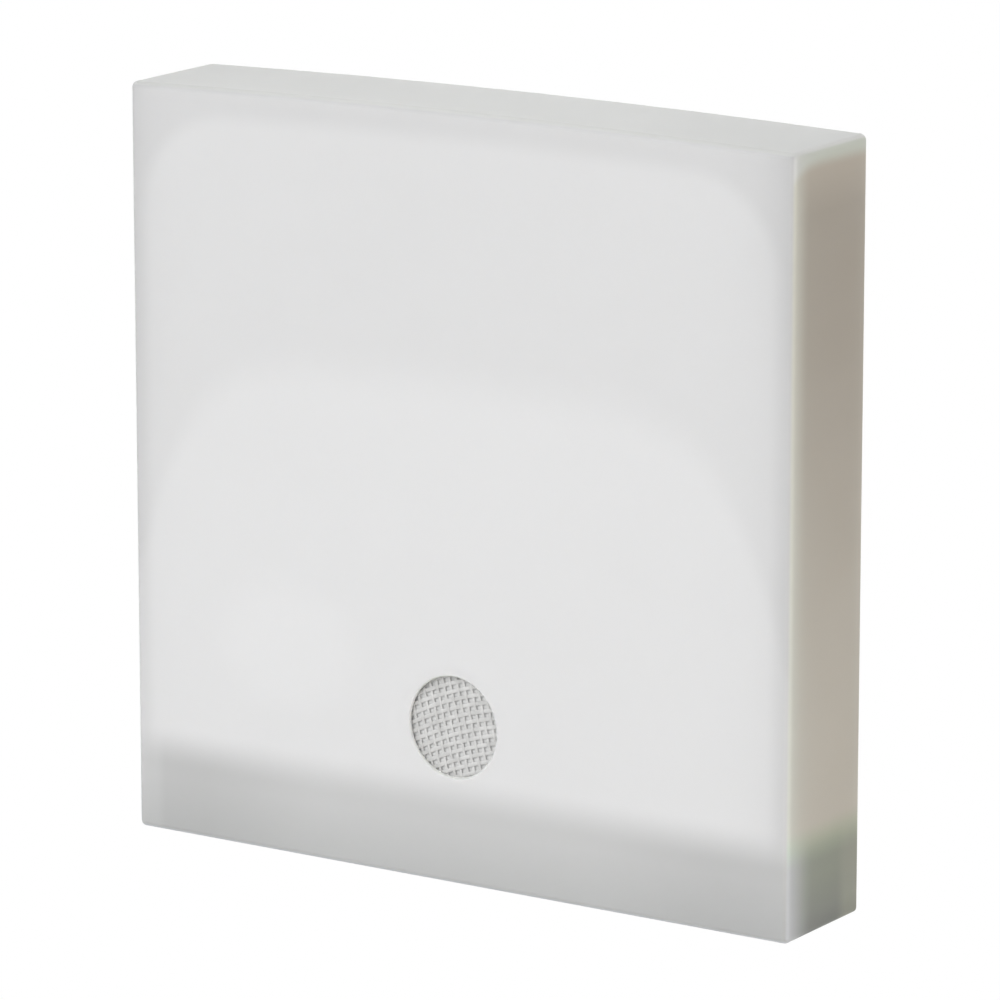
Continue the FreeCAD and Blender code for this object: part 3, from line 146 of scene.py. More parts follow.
class Material:
    """A node material that is put together step by step."""

    def __init__(self, name):
        self.material = bpy.data.materials.new(name)
        self.material.use_nodes = True
        self.tree = self.material.node_tree
        self.shader = self.tree.nodes["Principled BSDF"]
        self.place = self.node("ShaderNodeTexCoord").outputs["Object"]

    def node(self, kind, **settings):
        made = self.tree.nodes.new(kind)
        for key, value in settings.items():
            setattr(made, key, value)
        return made

    def link(self, source, target):
        self.tree.links.new(source, target)

    def feed(self, socket, value):
        """Puts a number, a colour or another node's output on a socket."""
        if isinstance(value, bpy.types.NodeSocket):
            self.link(value, socket)
        else:
            socket.default_value = value

    def math(self, operation, first, second=0.0, third=0.0):
        made = self.node("ShaderNodeMath", operation=operation)
        for socket, value in zip(made.inputs, (first, second, third)):
            self.feed(socket, value)
        return made.outputs[0]

    def length(self, first, second):
        """How far a place lies from the origin of two axes."""
        squares = self.math("MULTIPLY", first, first), self.math("MULTIPLY", second, second)
        return self.math("SQRT", self.math("ADD", *squares))

    def ramp(self, value, start, end, low=0.0, high=1.0, smooth=True):
        """Goes from low to high as value goes from start to end."""
        made = self.node("ShaderNodeMapRange")
        made.interpolation_type = "SMOOTHSTEP" if smooth else "LINEAR"
        keys = ("Value", "From Min", "From Max", "To Min", "To Max")
        for key, item in zip(keys, (value, start, end, low, high)):
            self.feed(made.inputs[key], item)
        return made.outputs[0]

    def spread(self, noise, low=0.0, high=1.0):
        """Goes from low to high over the values that noise mostly has."""
        return self.ramp(noise, NOISE_LOW, NOISE_HIGH, low, high)

    def noise(self, scale, detail=3.0, place=None):
        made = self.node("ShaderNodeTexNoise")
        self.link(place or self.place, made.inputs["Vector"])
        made.inputs["Scale"].default_value = scale
        made.inputs["Detail"].default_value = detail
        made.inputs["Roughness"].default_value = NOISE_ROUGHNESS
        return made.outputs["Fac"]

    def stretched(self, scales):
        """The object's coordinates, stretched along the axes."""
        made = self.node("ShaderNodeMapping")
        self.link(self.place, made.inputs["Vector"])
        made.inputs["Scale"].default_value = scales
        return made.outputs["Vector"]

    def blend(self, factor, first, second, mode="MIX"):
        """Mixes two colours, whose sockets are the sixth and seventh of the node."""
        made = self.node("ShaderNodeMix", data_type="RGBA", blend_type=mode)
        self.feed(made.inputs["Factor"], factor)
        for socket, colour in ((made.inputs[6], first), (made.inputs[7], second)):
            self.feed(socket, colour if isinstance(colour, bpy.types.NodeSocket) else (*colour, 1.0))
        return made.outputs[2]

    def axes(self):
        made = self.node("ShaderNodeSeparateXYZ")
        self.link(self.place, made.inputs[0])
        return made.outputs

    def bump(self, height, distance, before=None):
        made = self.node("ShaderNodeBump")
        made.inputs["Strength"].default_value = 1.0
        made.inputs["Distance"].default_value = distance
        self.link(height, made.inputs["Height"])
        if before:
            self.link(before, made.inputs["Normal"])
        return made.outputs["Normal"]

    def finish(self, colour, roughness, normal=None, **sockets):
        self.feed(self.shader.inputs["Base Color"], colour)
        self.feed(self.shader.inputs["Roughness"], roughness)
        if normal:
            self.link(normal, self.shader.inputs["Normal"])
        for key, value in sockets.items():
            self.shader.inputs[SOCKETS[key]].default_value = value
        return self.material


def make_camera():
    """The camera at the photograph's angle."""
    low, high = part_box("front_cover")
    width = high.x - low.x
    middle = Vector(((low.x + high.x) / 2, high.y, low.z + width / 2))
    forward = Vector(
        (
            -math.sin(VIEW_YAW) * math.cos(VIEW_PITCH),
            math.cos(VIEW_YAW) * math.cos(VIEW_PITCH),
            -math.sin(VIEW_PITCH),
        )
    )
    right = Vector((math.cos(VIEW_YAW), math.sin(VIEW_YAW), 0))
    up = right.cross(forward)
    place = middle + width * (right * VIEW_ACROSS + up * VIEW_UP - forward * VIEW_DISTANCE)
    camera = bpy.data.objects.new("camera", bpy.data.cameras.new("camera"))
    bpy.context.scene.collection.objects.link(camera)
    turn = Matrix((right, up, -forward)).transposed()
    camera.matrix_world = Matrix.Translation(place) @ turn.to_4x4()
    camera.data.sensor_width = SENSOR
    camera.data.lens = LENS_SHARE * SENSOR
    camera.data.clip_start = 0.01
    camera.data.clip_end = 20
    bpy.context.scene.camera = camera


def make_lamp(name, place, size, power, colour):
    """A square soft lamp that looks at the origin."""
    data = bpy.data.lights.new(name, "AREA")
    data.shape = "SQUARE"
    data.size = size
    data.energy = power
    data.color = colour
    lamp = bpy.data.objects.new(name, data)
    bpy.context.scene.collection.objects.link(lamp)
    lamp.location = place
    lamp.rotation_euler = (-Vector(place)).to_track_quat("-Z", "Y").to_euler()


def make_light():
    """The lamps, and a world that the camera, gloss and glass see as white."""
    for lamp in LAMPS:
        make_lamp(*lamp)

    world = bpy.data.worlds.new("studio")
    bpy.context.scene.world = world
    world.use_nodes = True
    tree = world.node_tree
    tree.nodes.clear()
    rays = tree.nodes.new("ShaderNodeLightPath")
    seen = rays.outputs["Is Camera Ray"]
    for kind in ("Is Glossy Ray", "Is Transmission Ray"):
        either = tree.nodes.new("ShaderNodeMath")
        either.operation = "MAXIMUM"
        tree.links.new(seen, either.inputs[0])
        tree.links.new(rays.outputs[kind], either.inputs[1])
        seen = either.outputs[0]
    level = tree.nodes.new("ShaderNodeMapRange")
    level.inputs["To Min"].default_value = WORLD_LEVEL
    level.inputs["To Max"].default_value = 1.0
    tree.links.new(seen, level.inputs["Value"])
    background = tree.nodes.new("ShaderNodeBackground")
    background.inputs["Color"].default_value = (1, 1, 1, 1)
    tree.links.new(level.outputs[0], background.inputs["Strength"])
    output = tree.nodes.new("ShaderNodeOutputWorld")
    tree.links.new(background.outputs[0], output.inputs["Surface"])


def make_floor():
    """A pale floor below the siren, white from above, which doesn't hide it from below."""
    level = cad_box[0][2] - FLOOR_DROP
    mesh = bpy.data.meshes.new("floor")
    corners = [(x * FLOOR_REACH, y * FLOOR_REACH, level) for x, y in ((-1, -1), (1, -1), (1, 1), (-1, 1))]
    mesh.from_pydata(corners, [], [(0, 1, 2, 3)])
    floor = new_object("floor", mesh)
    made = Material("floor_pale")
    x, y, _ = made.axes()
    away = made.length(x, y)
    whiteness = made.ramp(away, FLOOR_SHADOW_TO, FLOOR_WHITE_FROM, FLOOR_SHADOW_WHITE, 1.0)
    rays = made.node("ShaderNodeLightPath")
    seen = made.math("MAXIMUM", rays.outputs["Is Camera Ray"], rays.outputs["Is Glossy Ray"])
    seen = made.math("MAXIMUM", seen, rays.outputs["Is Transmission Ray"])
    seen = made.math("MULTIPLY", seen, whiteness)
    white = made.node("ShaderNodeEmission")
    white.inputs["Color"].default_value = (1, 1, 1, 1)
    white.inputs["Strength"].default_value = 1.0
    share = made.node("ShaderNodeMixShader")
    made.link(seen, share.inputs[0])
    made.link(made.shader.outputs[0], share.inputs[1])
    made.link(white.outputs[0], share.inputs[2])
    under = made.node("ShaderNodeMixShader")
    made.link(made.node("ShaderNodeNewGeometry").outputs["Backfacing"], under.inputs[0])
    made.link(share.outputs[0], under.inputs[1])
    made.link(made.node("ShaderNodeBsdfTransparent").outputs[0], under.inputs[2])
    made.link(under.outputs[0], made.tree.nodes["Material Output"].inputs["Surface"])
    tone = made.blend(made.noise(scale=3.0), FLOOR_DARK, FLOOR_LIGHT)
    made.finish(tone, roughness=0.7)
    mesh.materials.append(made.material)


# The opal shell's tones, as diffuse colours: FACE and TOP are its own colour, and the others hold painted
# light and shade
FACE = (0.814, 0.816, 0.824)
# Painted shade in the band on the face below the frame, darkest in its foot
FACE_BAND_SHADE = (0.628, 0.632, 0.634)
FACE_FOOT_SHADE = (0.542, 0.550, 0.550)
TOP = (0.828, 0.838, 0.822)
# Painted shade: the side walls, darker and warmer than the face, and darker high up than low down
SIDE_HIGH_SHADE = (0.438, 0.398, 0.345)
SIDE_LOW_SHADE = (0.566, 0.532, 0.474)
# Painted light: strips along the side walls next to the face and under the top
SIDE_GLOW_HIGH = (0.690, 0.690, 0.628)
SIDE_GLOW_LOW = (0.745, 0.772, 0.725)
SIDE_TOP_LIGHT = (0.660, 0.698, 0.640)
SIDE_TOP_RIM_LIGHT = (0.770, 0.780, 0.790)
# Painted light along the side walls' rear edge
SIDE_REAR_LIGHT = (0.560, 0.540, 0.490)
# Painted shade in the band on the side walls, darkest in its foot
SIDE_BAND_SHADE = (0.280, 0.303, 0.252)
SIDE_FOOT_SHADE = (0.214, 0.226, 0.212)
# Painted light in the band near the face and near the rear edge
BAND_RIM_LIGHT = (0.655, 0.675, 0.725)
BAND_REAR_LIGHT = (0.318, 0.330, 0.282)
BAND_START = (0.98, 1.06, 0.98)
# Painted shade on faces that look down and on faces that look back
BOTTOM_SHADE = (0.370, 0.375, 0.360)
REAR_RIM_SHADE = (0.560, 0.560, 0.530)

# The painted light of the field where the frame lies behind the face, and the painted shade of the margins
# outside it
FIELD_CORNER = 15 * MM
FIELD_SOFTNESS = 1.8 * MM
FIELD_FROM_SIDE = 2.5 * MM
FIELD_FROM_FRAME_TOP = 0.7 * MM
MARGIN_SHADE_LEVEL = 0.925

# The faint arch across the face, with painted shade above it, which drops towards the sides
ARCH_UP = 19 * MM
ARCH_DROP = 21 * MM
ARCH_HALF_WIDTH = 54 * MM
ARCH_SQUARENESS = 6.0
ARCH_SOFTNESS = 5 * MM
ARCH_SHADE_LEVEL = 0.945

# The patch of painted light low on the left, and the painted shade round the outlet
PATCH_PLACE = (-31 * MM, -26 * MM)
PATCH_SIZE = (17 * MM, 13 * MM)
PATCH_LIGHT = 0.03
OUTLET_SHADE_REACH = 11 * MM
OUTLET_SHADE = 0.06

# The band of painted shade below the frame's lower edge: where it starts, how it wavers and where it is
# darkest
BAND_ABOVE = 3.8 * MM
BAND_BELOW = 3.2 * MM
BAND_WAVER = 1.6 * MM
FOOT_FROM = 5.0 * MM
FOOT_TO = 14.0 * MM

# How far from an edge the light's loss or gain there is down to about a third
LEFT_REACH = 3.0 * MM
RIGHT_REACH = 4.2 * MM
REAR_REACH = 1.6 * MM
FRONT_REACH = 2.6 * MM
CORNER_REACH = 2.2 * MM
BAND_FRONT_REACH = 3.4 * MM

# How strong the band's painted light is at the face's left edge and at the side wall's front edge
BAND_LEFT_GAIN = 0.06
BAND_FRONT_SHARE = 0.40

# The side wall's front strip of painted light, and how its top strip of painted light leans and hangs down
# in the corner
SIDE_PLATEAU = 0.6
SIDE_FRONT = (0.3 * MM, 4.6 * MM)
SIDE_TOP_LEAN = 0.02
CORNER_DROP = 2.4 * MM

# Ramps: where each starts and ends, then its value at either end
# Painted shade near the face's left and right edges, stronger higher up
LEFT_LOSS = (20 * MM, 110 * MM, 0.070, 0.135)
RIGHT_LOSS = (75 * MM, 105 * MM, 0.130, 0.180)
# The band's painted shade across the face, darker towards the sides, and its painted light at the left edge
BAND_ACROSS = (22 * MM, 50 * MM, 0.985, 0.890)
BAND_LEFT = (3.4 * MM, 5.6 * MM, 0.06, 0.0)
# Painted light on the side walls under the top, and the shares of their painted rear light and top strip
SIDE_TOP_GLOW = (2.5 * MM, 9 * MM, 1.23, 1.0)
SIDE_REAR_SHARE = (0.0, 1.0, 1.0, 0.35)
SIDE_TOP_SHARE = (0.3 * MM, 2.6 * MM, 0.97, 0.0)
# The band's painted light at the rear and front of the side walls, and its painted shade at the very bottom
BAND_REAR_SHARE = (6.5 * MM, 3.0 * MM, 0.0, 1.0)
BAND_FOOT = (0.0, 4 * MM, 0.85, 1.0)
BAND_FRONT = (0.0, 7.5 * MM, 0.50, 0.0)

# Painted shade: how bright the top is at its ends, and the rounded edge before it
TOP_ENDS_SHADE = 0.925
EDGE_SHADE_LEVEL = 0.82

# Heights between which the side walls' painted shade turns from its low tones to its darker high ones
SIDE_LOW_TO = 26 * MM
SIDE_HIGH_FROM_TOP = 20 * MM

# How far a face has to turn before it takes the tones of a side: from where, and wholly where
SIDE_FACING = (0.45, 0.9)
DOWN_FACING = (-0.35, -0.75)
UP_FACING = (0.35, 0.75)
BOTTOM_FACING = (-0.9, -1.0)
REAR_FACING = (0.8, 0.95)

# How far from the middle, and how far behind the face, the tones of the side begin
SIDE_FROM_MIDDLE = (50 * MM, 52 * MM)
SIDE_FROM_DEPTH = (2.0 * MM, 3.0 * MM)

# How near to a wall's plane a corner of the shell counts as lying on it
ON_WALL = 0.1 * MM


class Shell(Material):
    """Milky translucent plastic, with painted light and shade in its colour: lighter where the white frame
    lies behind the face, darker on the side walls and in the band below the frame.
    """

    def __init__(self):
        super().__init__("opal_shell")
        self.x, y, self.z = self.axes()
        self.low, self.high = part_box("front_cover")
        self.frame_low, self.frame_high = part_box("chassis")
        self.depth = self.math("SUBTRACT", y, self.low.y)
        self.from_wall = self.math("SUBTRACT", self.high.y, y)
        self.above_foot = self.math("SUBTRACT", self.z, self.low.z)

        # How far the arched top rises over its ends at each place across
        self.rise = self.high.z - self.shoulder()
        square = self.math("MULTIPLY", self.x, self.x)
        self.arch = self.math("MULTIPLY_ADD", square, -self.rise / self.high.x**2, self.rise)
        top = self.math("ADD", self.arch, self.high.z - self.rise)
        self.from_top = self.math("SUBTRACT", top, self.z)

    def shoulder(self):
        """The height of the shell's top where it meets the side walls."""
        cover = nodes["front_cover"]
        corners = [cover.matrix_world @ vertex.co for vertex in cover.data.vertices]
        return max(corner.z for corner in corners if corner.x > self.high.x - ON_WALL)

    def fade(self, distance, reach):
        """Goes from 1 at no distance towards 0, by the factor e in each reach."""
        return self.math("EXPONENT", self.math("MULTIPLY", distance, -1 / reach))

    def scaled(self, colour, factor):
        """A colour times a number from another node."""
        made = self.node("ShaderNodeVectorMath", operation="SCALE")
        self.feed(made.inputs[0], colour)
        self.feed(made.inputs["Scale"], factor)
        return made.outputs[0]

    def soft_spot(self, place, size):
        """1 in the middle of an ellipse on the face and 0 outside it."""
        u = self.math("MULTIPLY_ADD", self.x, 1 / size[0], -place[0] / size[0])
        v = self.math("MULTIPLY_ADD", self.z, 1 / size[1], -place[1] / size[1])
        far = self.math("ADD", self.math("MULTIPLY", u, u), self.math("MULTIPLY", v, v))
        return self.ramp(far, 1.0, 0.0)

    def frame_field(self):
        """1 where the frame lies behind the face and its painted light is full, with large soft corners at
        the top.
        """
        side = self.high.x - FIELD_FROM_SIDE - FIELD_CORNER
        top = self.frame_high.z - FIELD_FROM_FRAME_TOP - FIELD_CORNER
        past_side = self.math("SUBTRACT", self.math("ABSOLUTE", self.x), side)
        past_top = self.math("SUBTRACT", self.math("SUBTRACT", self.z, self.arch), top)
        far = self.length(self.math("MAXIMUM", past_side, 0.0), self.math("MAXIMUM", past_top, 0.0))
        return self.ramp(far, FIELD_CORNER + FIELD_SOFTNESS, FIELD_CORNER - FIELD_SOFTNESS)

    def face_light(self):
        """The front's painted light and shade above the band: field, margins, arch, patch and outlet."""
        level = self.ramp(self.frame_field(), 0.0, 1.0, MARGIN_SHADE_LEVEL, 1.0, smooth=False)
        across = self.math("DIVIDE", self.math("ABSOLUTE", self.x), ARCH_HALF_WIDTH)
        drop = self.math("POWER", across, ARCH_SQUARENESS)
        over_arch = self.math("MULTIPLY_ADD", drop, ARCH_DROP, self.math("SUBTRACT", self.z, ARCH_UP))
        arch_level = self.ramp(over_arch, ARCH_SOFTNESS, -ARCH_SOFTNESS, ARCH_SHADE_LEVEL, 1.0)
        level = self.math("MULTIPLY", level, arch_level)
        level = self.math("MULTIPLY_ADD", self.soft_spot(PATCH_PLACE, PATCH_SIZE), PATCH_LIGHT, level)
        outlet_low, outlet_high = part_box("mesh_ring")
        outlet = (0.0, (outlet_low.z + outlet_high.z) / 2)
        shade = self.soft_spot(outlet, (OUTLET_SHADE_REACH, OUTLET_SHADE_REACH))
        return self.math("MULTIPLY_ADD", shade, -OUTLET_SHADE, level)

    def face_tone(self, band, foot):
        """The front, with the light that it loses beside the side walls painted as shade, and the painted
        shade of the band.
        """
        from_left = self.math("SUBTRACT", self.x, self.low.x)
        left = self.fade(from_left, LEFT_REACH)
        right = self.fade(self.math("SUBTRACT", self.high.x, self.x), RIGHT_REACH)
        left_loss = self.ramp(self.above_foot, *LEFT_LOSS)
        right_loss = self.math("MULTIPLY", right, self.ramp(self.above_foot, *RIGHT_LOSS))
        lost = self.math("MULTIPLY_ADD", left, left_loss, right_loss)
        lost = self.math("MULTIPLY", lost, self.math("SUBTRACT", 1.0, band))
        level = self.math("SUBTRACT", self.face_light(), lost)

        below_level = self.ramp(self.math("ABSOLUTE", self.x), *BAND_ACROSS)
        below_level = self.math("MULTIPLY_ADD", left, BAND_LEFT_GAIN, below_level)
        below_level = self.math("ADD", below_level, self.ramp(from_left, *BAND_LEFT))
        below = self.blend(foot, FACE_BAND_SHADE, FACE_FOOT_SHADE)
        return self.blend(band, self.scaled(FACE, level), self.scaled(below, below_level))

    def side_field(self):
        """The side walls above the band: painted shade, warm and dark, with painted light near the front
        and the top and at the rear.
        """
        high = self.ramp(self.z, self.low.z + SIDE_LOW_TO, self.high.z - SIDE_HIGH_FROM_TOP)
        deep = self.blend(high, SIDE_LOW_SHADE, SIDE_HIGH_SHADE)
        deep = self.scaled(deep, self.ramp(self.from_top, *SIDE_TOP_GLOW, smooth=False))
        rear_share = self.ramp(high, *SIDE_REAR_SHARE)
        rear = self.math("MULTIPLY", self.fade(self.from_wall, REAR_REACH), rear_share)
        field = self.blend(rear, deep, SIDE_REAR_LIGHT)

        plateau = self.math("MULTIPLY", high, SIDE_PLATEAU)
        front = self.fade(self.depth, FRONT_REACH)
        flat = self.ramp(self.depth, *SIDE_FRONT, plateau, 0.0)
        near_front = self.math("MULTIPLY_ADD", front, self.math("SUBTRACT", 1.0, plateau), flat)
        field = self.blend(near_front, field, self.blend(high, SIDE_GLOW_LOW, SIDE_GLOW_HIGH))

        under_top = self.math("MULTIPLY_ADD", self.depth, -SIDE_TOP_LEAN, self.from_top)
        under_top = self.math("MULTIPLY_ADD", self.fade(self.depth, CORNER_REACH), -CORNER_DROP, under_top)
        top = self.blend(front, SIDE_TOP_LIGHT, SIDE_TOP_RIM_LIGHT)
        return self.blend(self.ramp(under_top, *SIDE_TOP_SHARE), field, top)

    def side_tone(self, band, foot):
        """The side walls with the band's painted shade, which has a green tinge where it starts."""
        below = self.blend(foot, SIDE_BAND_SHADE, SIDE_FOOT_SHADE)
        below = self.blend(self.ramp(self.from_wall, *BAND_REAR_SHARE), below, BAND_REAR_LIGHT)
        below = self.scaled(below, self.ramp(self.above_foot, *BAND_FOOT))
        front = self.fade(self.depth, BAND_FRONT_REACH)
        near_front = self.math("MULTIPLY_ADD", front, BAND_FRONT_SHARE, self.ramp(self.depth, *BAND_FRONT))
        below = self.blend(near_front, below, BAND_RIM_LIGHT)

        # The tinge is 0 outside the band's soft edge and within the band, and 1 halfway between
        start = self.math("MULTIPLY", band, self.math("MULTIPLY_ADD", band, -4.0, 4.0))
        return self.blend(start, self.blend(band, self.side_field(), below), BAND_START, "MULTIPLY")

    def band_and_foot(self):
        """How far a place lies in the band of painted shade below the frame, and in the darker foot below
        that.
        """
        level = self.frame_low.z
        waver = self.math("SUBTRACT", self.noise(scale=14.0, detail=1.0), 0.5)
        height = self.math("MULTIPLY_ADD", waver, BAND_WAVER, self.z)
        band = self.ramp(height, level + BAND_ABOVE, level - BAND_BELOW)
        foot = self.ramp(height, level - FOOT_FROM, level - FOOT_TO, smooth=False)
        return band, foot

    def colour(self):
        """The tone for the way that each face looks, with the painted light and shade of each way that it
        turns.
        """
        band, foot = self.band_and_foot()
        facing = self.node("ShaderNodeSeparateXYZ")
        self.link(self.node("ShaderNodeTexCoord").outputs["Normal"], facing.inputs[0])
        across, rearward, upward = facing.outputs

        # The outlet's wall keeps the tones of the face
        side = self.ramp(self.math("ABSOLUTE", across), *SIDE_FACING)
        side = self.math("MULTIPLY", side, self.ramp(self.math("ABSOLUTE", self.x), *SIDE_FROM_MIDDLE))

        # The lower edge and all that lies behind the face have the tones of the side
        side = self.math("MAXIMUM", side, self.ramp(upward, *DOWN_FACING))
        side = self.math("MAXIMUM", side, self.ramp(self.depth, *SIDE_FROM_DEPTH))
        colour = self.blend(side, self.face_tone(band, foot), self.side_tone(band, foot))
        # Painted shade, darker towards the top's lower ends
        top = self.ramp(self.arch, 0.0, self.rise, TOP_ENDS_SHADE, 1.0, smooth=False)
        colour = self.blend(self.ramp(upward, *UP_FACING), colour, self.scaled(TOP, top))

        # Painted shade keeps the rounded edge between face and top no brighter than they are
        turned = self.math("MULTIPLY", self.math("MULTIPLY", rearward, -2.0), upward)
        colour = self.scaled(colour, self.ramp(turned, 0.0, 1.0, 1.0, EDGE_SHADE_LEVEL, smooth=False))
        # Painted shade on faces that look down and on faces that look back
        colour = self.blend(self.ramp(upward, *BOTTOM_FACING), colour, BOTTOM_SHADE)
        colour = self.blend(self.ramp(rearward, *REAR_FACING), colour, REAR_RIM_SHADE)
        return self.scaled(colour, self.spread(self.noise(scale=11.0, detail=1.0), low=0.99))

    def build(self):
        satin = self.spread(self.noise(scale=60.0, detail=1.0), low=0.42, high=0.50)
        grain = self.bump(self.noise(scale=2600.0, detail=0.0), distance=0.004 * MM)
        normal = self.bump(self.noise(scale=35.0, detail=0.0), distance=0.02 * MM, before=grain)
        self.shader.subsurface_method = "BURLEY"
        return self.finish(
            self.colour(),
            satin,
            normal,
            subsurface_weight=1.0,
            subsurface_scale=1.2 * MM,
            subsurface_radius=(1.0, 0.95, 0.85),
            ior=1.45,
        )


# Plastics: light and dark tone, roughness, how fine the grain is, and how high it is in mm
PLASTICS = {
    "white_plastic": ((0.80, 0.80, 0.77), (0.75, 0.75, 0.72), 0.50, 900.0, 0.03),
    "white_ring": ((0.80, 0.80, 0.78), (0.74, 0.74, 0.72), 0.45, 700.0, 0.02),
    "membrane_white": ((0.82, 0.82, 0.82), (0.78, 0.78, 0.78), 0.80, 2400.0, 0.02),
    "black_plastic": ((0.030, 0.030, 0.032), (0.020, 0.020, 0.022), 0.40, 900.0, 0.02),
    "component_black": ((0.045, 0.045, 0.047), (0.030, 0.030, 0.032), 0.55, 1500.0, 0.02),
    "piezo_white": ((0.78, 0.76, 0.70), (0.70, 0.68, 0.62), 0.60, 1200.0, 0.01),
    "cell_wrap": ((0.040, 0.044, 0.052), (0.028, 0.030, 0.036), 0.28, 300.0, 0.01),
    "ferrite": ((0.060, 0.058, 0.056), (0.035, 0.034, 0.033), 0.70, 1400.0, 0.04),
    "capacitor_sleeve": ((0.022, 0.026, 0.055), (0.014, 0.016, 0.036), 0.30, 300.0, 0.01),
    "lamp_body": ((0.80, 0.76, 0.46), (0.72, 0.68, 0.40), 0.25, 900.0, 0.01),
    "plunger_white": ((0.76, 0.76, 0.74), (0.70, 0.70, 0.68), 0.35, 900.0, 0.01),
}

# Metals: light and dark tone, roughness, how much finer the streaks are along each axis, and their scale
METALS = {
    "wire_mesh": ((0.71, 0.71, 0.705), (0.67, 0.67, 0.665), 0.90, (1, 1, 1), 900.0),
    "brass_disc": ((0.78, 0.58, 0.27), (0.66, 0.47, 0.20), 0.30, (1, 1, 30), 60.0),
    "tinned_metal": ((0.80, 0.80, 0.78), (0.68, 0.68, 0.67), 0.30, (1, 1, 12), 300.0),
    "screw_steel": ((0.62, 0.62, 0.62), (0.48, 0.48, 0.49), 0.34, (1, 1, 12), 300.0),
    "antenna_sleeve": ((0.72, 0.36, 0.20), (0.58, 0.26, 0.13), 0.30, (12, 1, 1), 300.0),
}

# Tones of the foam, of solder mask and the copper under it, and of enamelled wire with its pitch
FOAM = ((0.060, 0.060, 0.064), (0.030, 0.030, 0.033))
BOARD = ((0.016, 0.14, 0.055), (0.012, 0.115, 0.045), (0.035, 0.22, 0.085))
WINDING = ((0.62, 0.24, 0.09), (0.30, 0.10, 0.04), 0.35 * MM)


def plastic(name, light, dark, rough, grain, height):
    """Moulded plastic with a fine texture and slow changes of tone."""
    made = Material(name)
    tone = made.blend(made.spread(made.noise(scale=40.0, detail=4.0)), dark, light)
    gloss = made.spread(made.noise(scale=180.0), low=rough - 0.06, high=rough + 0.06)
    normal = made.bump(made.noise(grain), height * MM)
    return made.finish(tone, gloss, normal)


def metal(name, light, dark, rough, stretch, scale):
    """Metal with drawn or rolled streaks."""
    made = Material(name)
    streaks = made.noise(scale, detail=4.0, place=made.stretched(stretch))
    tone = made.blend(made.spread(streaks), dark, light)
    gloss = made.spread(made.noise(scale=500.0, detail=2.0), low=rough - 0.07, high=rough + 0.09)
    normal = made.bump(streaks, distance=0.006 * MM)
    return made.finish(tone, gloss, normal, metallic=1.0)


def foam(name, light, dark):
    """Closed-cell foam."""
    made = Material(name)
    cells = made.node("ShaderNodeTexVoronoi")
    made.link(made.place, cells.inputs["Vector"])
    cells.inputs["Scale"].default_value = 1800.0
    size = made.ramp(cells.outputs["Distance"], start=0.1, end=0.7)
    gloss = made.spread(made.noise(scale=90.0), low=0.8, high=0.95)
    return made.finish(made.blend(size, dark, light), gloss, made.bump(size, distance=0.05 * MM))


def board(name, light, dark, copper):
    """Solder mask over copper runs."""
    made = Material(name)
    runs = made.node("ShaderNodeTexBrick")
    turn = made.node("ShaderNodeMapping")
    made.link(made.place, turn.inputs["Vector"])
    turn.inputs["Rotation"].default_value = (math.radians(90), 0, 0)
    made.link(turn.outputs["Vector"], runs.inputs["Vector"])
    runs.inputs["Scale"].default_value = 140.0
    runs.inputs["Mortar Size"].default_value = 0.035
    runs.inputs["Mortar Smooth"].default_value = 0.4
    trace = runs.outputs["Fac"]
    base = made.blend(made.spread(made.noise(scale=60.0)), dark, light)
    tone = made.blend(made.math("MULTIPLY", trace, 0.8), base, copper)
    gloss = made.spread(made.noise(scale=300.0), low=0.3, high=0.42)
    return made.finish(tone, gloss, made.bump(trace, distance=0.03 * MM))


def winding(name, light, dark, pitch):
    """Enamelled copper wire, turn beside turn along the axis that runs front to back."""
    made = Material(name)
    turns = made.node("ShaderNodeTexWave", wave_type="BANDS", bands_direction="Y")
    made.link(made.place, turns.inputs["Vector"])
    turns.inputs["Scale"].default_value = math.tau / (WAVE_TURN * pitch)
    turns.inputs["Distortion"].default_value = 0.4
    tone = made.blend(turns.outputs["Fac"], dark, light)
    gloss = made.spread(made.noise(scale=400.0), low=0.25, high=0.4)
    return made.finish(tone, gloss, made.bump(turns.outputs["Fac"], distance=pitch / 3), metallic=0.8)


def make_materials():
    """One material for each of the record's slots."""
    made = {
        "opal_shell": Shell().build(),
        "foam": foam("foam", *FOAM),
        "board_green": board("board_green", *BOARD),
        "copper_winding": winding("copper_winding", *WINDING),
    }
    for name, looks in PLASTICS.items():
        made[name] = plastic(name, *looks)
    for name, looks in METALS.items():
        made[name] = metal(name, *looks)
    return made


def mesh_point(column, row):
    """A place on the mesh, from the outlet's centre, counted in gaps across and up."""
    across = GAP_ACROSS + column * COLUMN_STEP * math.cos(ROW_TURN) - row * ROW_STEP * math.sin(COLUMN_LEAN)
    up = GAP_UP + column * COLUMN_STEP * math.sin(ROW_TURN) + row * ROW_STEP * math.cos(COLUMN_LEAN)
    return Vector((across, 0, up - ROW_BOW * column * column))


def wire_line(upright, index, radius, wave, draw):
    """One wire's middle line, half a step from the gaps, which goes over and under those it crosses."""
    parity = -1 if (index + upright) % 2 else 1
    phase = draw.uniform(0, math.tau)
    shift = draw.uniform(-1, 1) * MESH_WAVER
    line = []
    for step in range(-MESH_REACH * WIRE_STEPS, MESH_REACH * WIRE_STEPS + 1):
        run = step / WIRE_STEPS
        point = mesh_point(index + 0.5, run) if upright else mesh_point(run, index + 0.5)
        sway = shift + MESH_WAVER * math.sin(run / MESH_WAVER_RUN + phase)
        point += Vector((sway, 0, 0)) if upright else Vector((0, 0, sway))
        if point.length < radius:
            point.y = wave * parity * math.sin(math.pi * run)
            line.append(point)
    return line


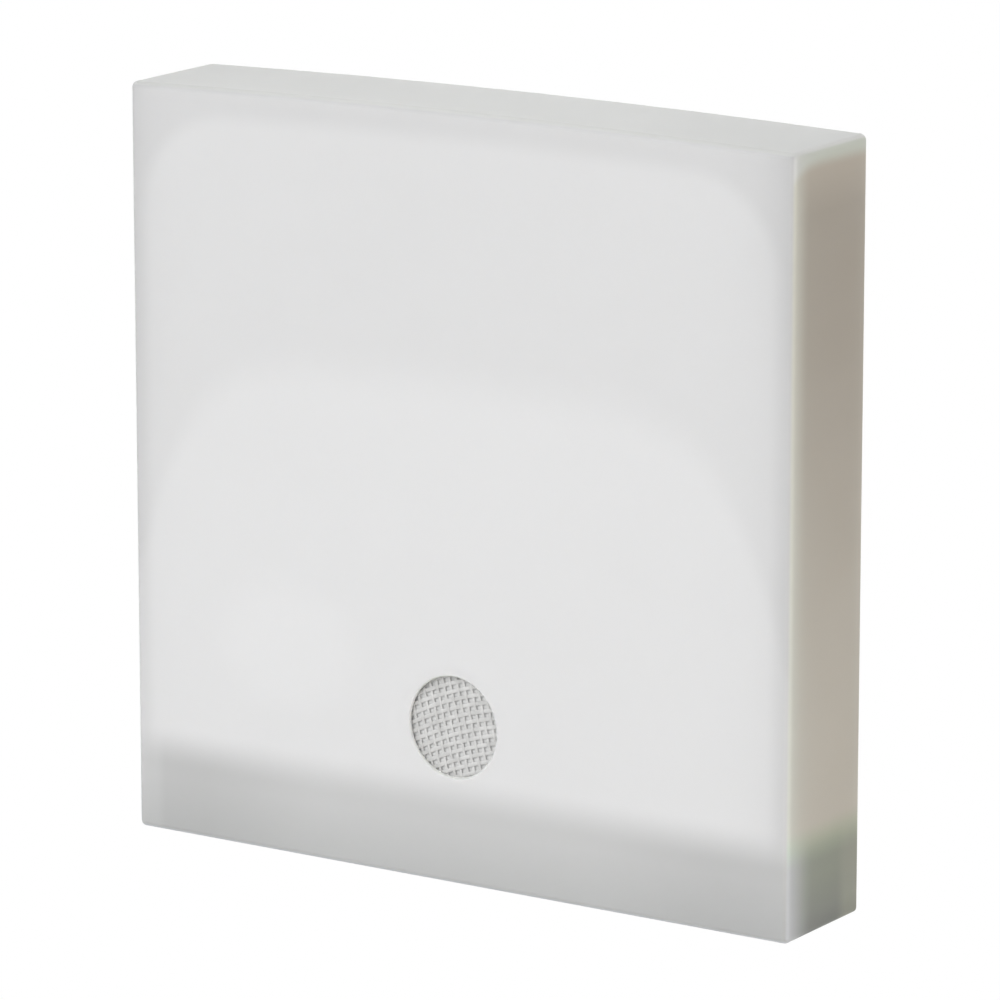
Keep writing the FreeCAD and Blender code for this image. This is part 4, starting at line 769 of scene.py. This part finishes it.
def add_tube(build, line, width, thickness):
    """A flattened tube along a line that lies near the plane of the face."""
    rings = []
    for index, point in enumerate(line):
        before, after = line[max(index - 1, 0)], line[min(index + 1, len(line) - 1)]
        along = (after - before).normalized()
        side = along.cross(Vector((0, -1, 0))).normalized()
        out = side.cross(along)
        ring = []
        for corner in range(WIRE_SIDES):
            angle = math.tau * corner / WIRE_SIDES
            offset = side * (width / 2 * math.cos(angle)) + out * (thickness / 2 * math.sin(angle))
            ring.append(build.verts.new(point + offset))
        rings.append(ring)
    for first, second in zip(rings, rings[1:]):
        for corner in range(WIRE_SIDES):
            after = (corner + 1) % WIRE_SIDES
            build.faces.new((first[corner], first[after], second[after], second[corner]))
    build.faces.new(rings[0])
    build.faces.new(rings[-1])


def wire_mesh(name, disc_node):
    """The woven mesh: two sets of flattened wires that pass over and under each other."""
    low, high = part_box(disc_node)
    centre = (low + high) / 2 + Vector((0, MESH_SINK, 0))
    radius = (high.x - low.x) / 2 - ROW_WIRE_WIDTH / 2
    draw = random.Random(MESH_SEED)
    build = bmesh.new()
    for upright, width, wave in ((0, ROW_WIRE_WIDTH, ROW_WAVE), (1, COLUMN_WIRE_WIDTH, COLUMN_WAVE)):
        for index in range(-MESH_REACH, MESH_REACH):
            line = wire_line(upright, index, radius, wave, draw)
            if len(line) > WIRE_STEPS:
                add_tube(build, line, width, WIRE_DEPTH)
    bmesh.ops.translate(build, verts=build.verts, vec=centre)
    bmesh.ops.recalc_face_normals(build, faces=build.faces)
    mesh = bpy.data.meshes.new(name)
    build.to_mesh(mesh)
    build.free()
    return new_object(name, mesh)


def dress():
    """Gives each CAD node its slot's material and puts the finer pieces in place."""
    materials = make_materials()
    slot_of = {part["node"]: part["material_slot"] for part in frame["record"]["subparts"]}
    for node, thing in nodes.items():
        thing.data.materials.clear()
        thing.data.materials.append(materials[slot_of[node]])

    weave = wire_mesh("woven_mesh", "sounder_mesh")
    weave.data.materials.append(materials["wire_mesh"])
    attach(weave, "housing")
    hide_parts("sounder_mesh")


make_camera()
make_light()
make_floor()
dress()

bpy.context.scene.view_settings.view_transform = "Standard"
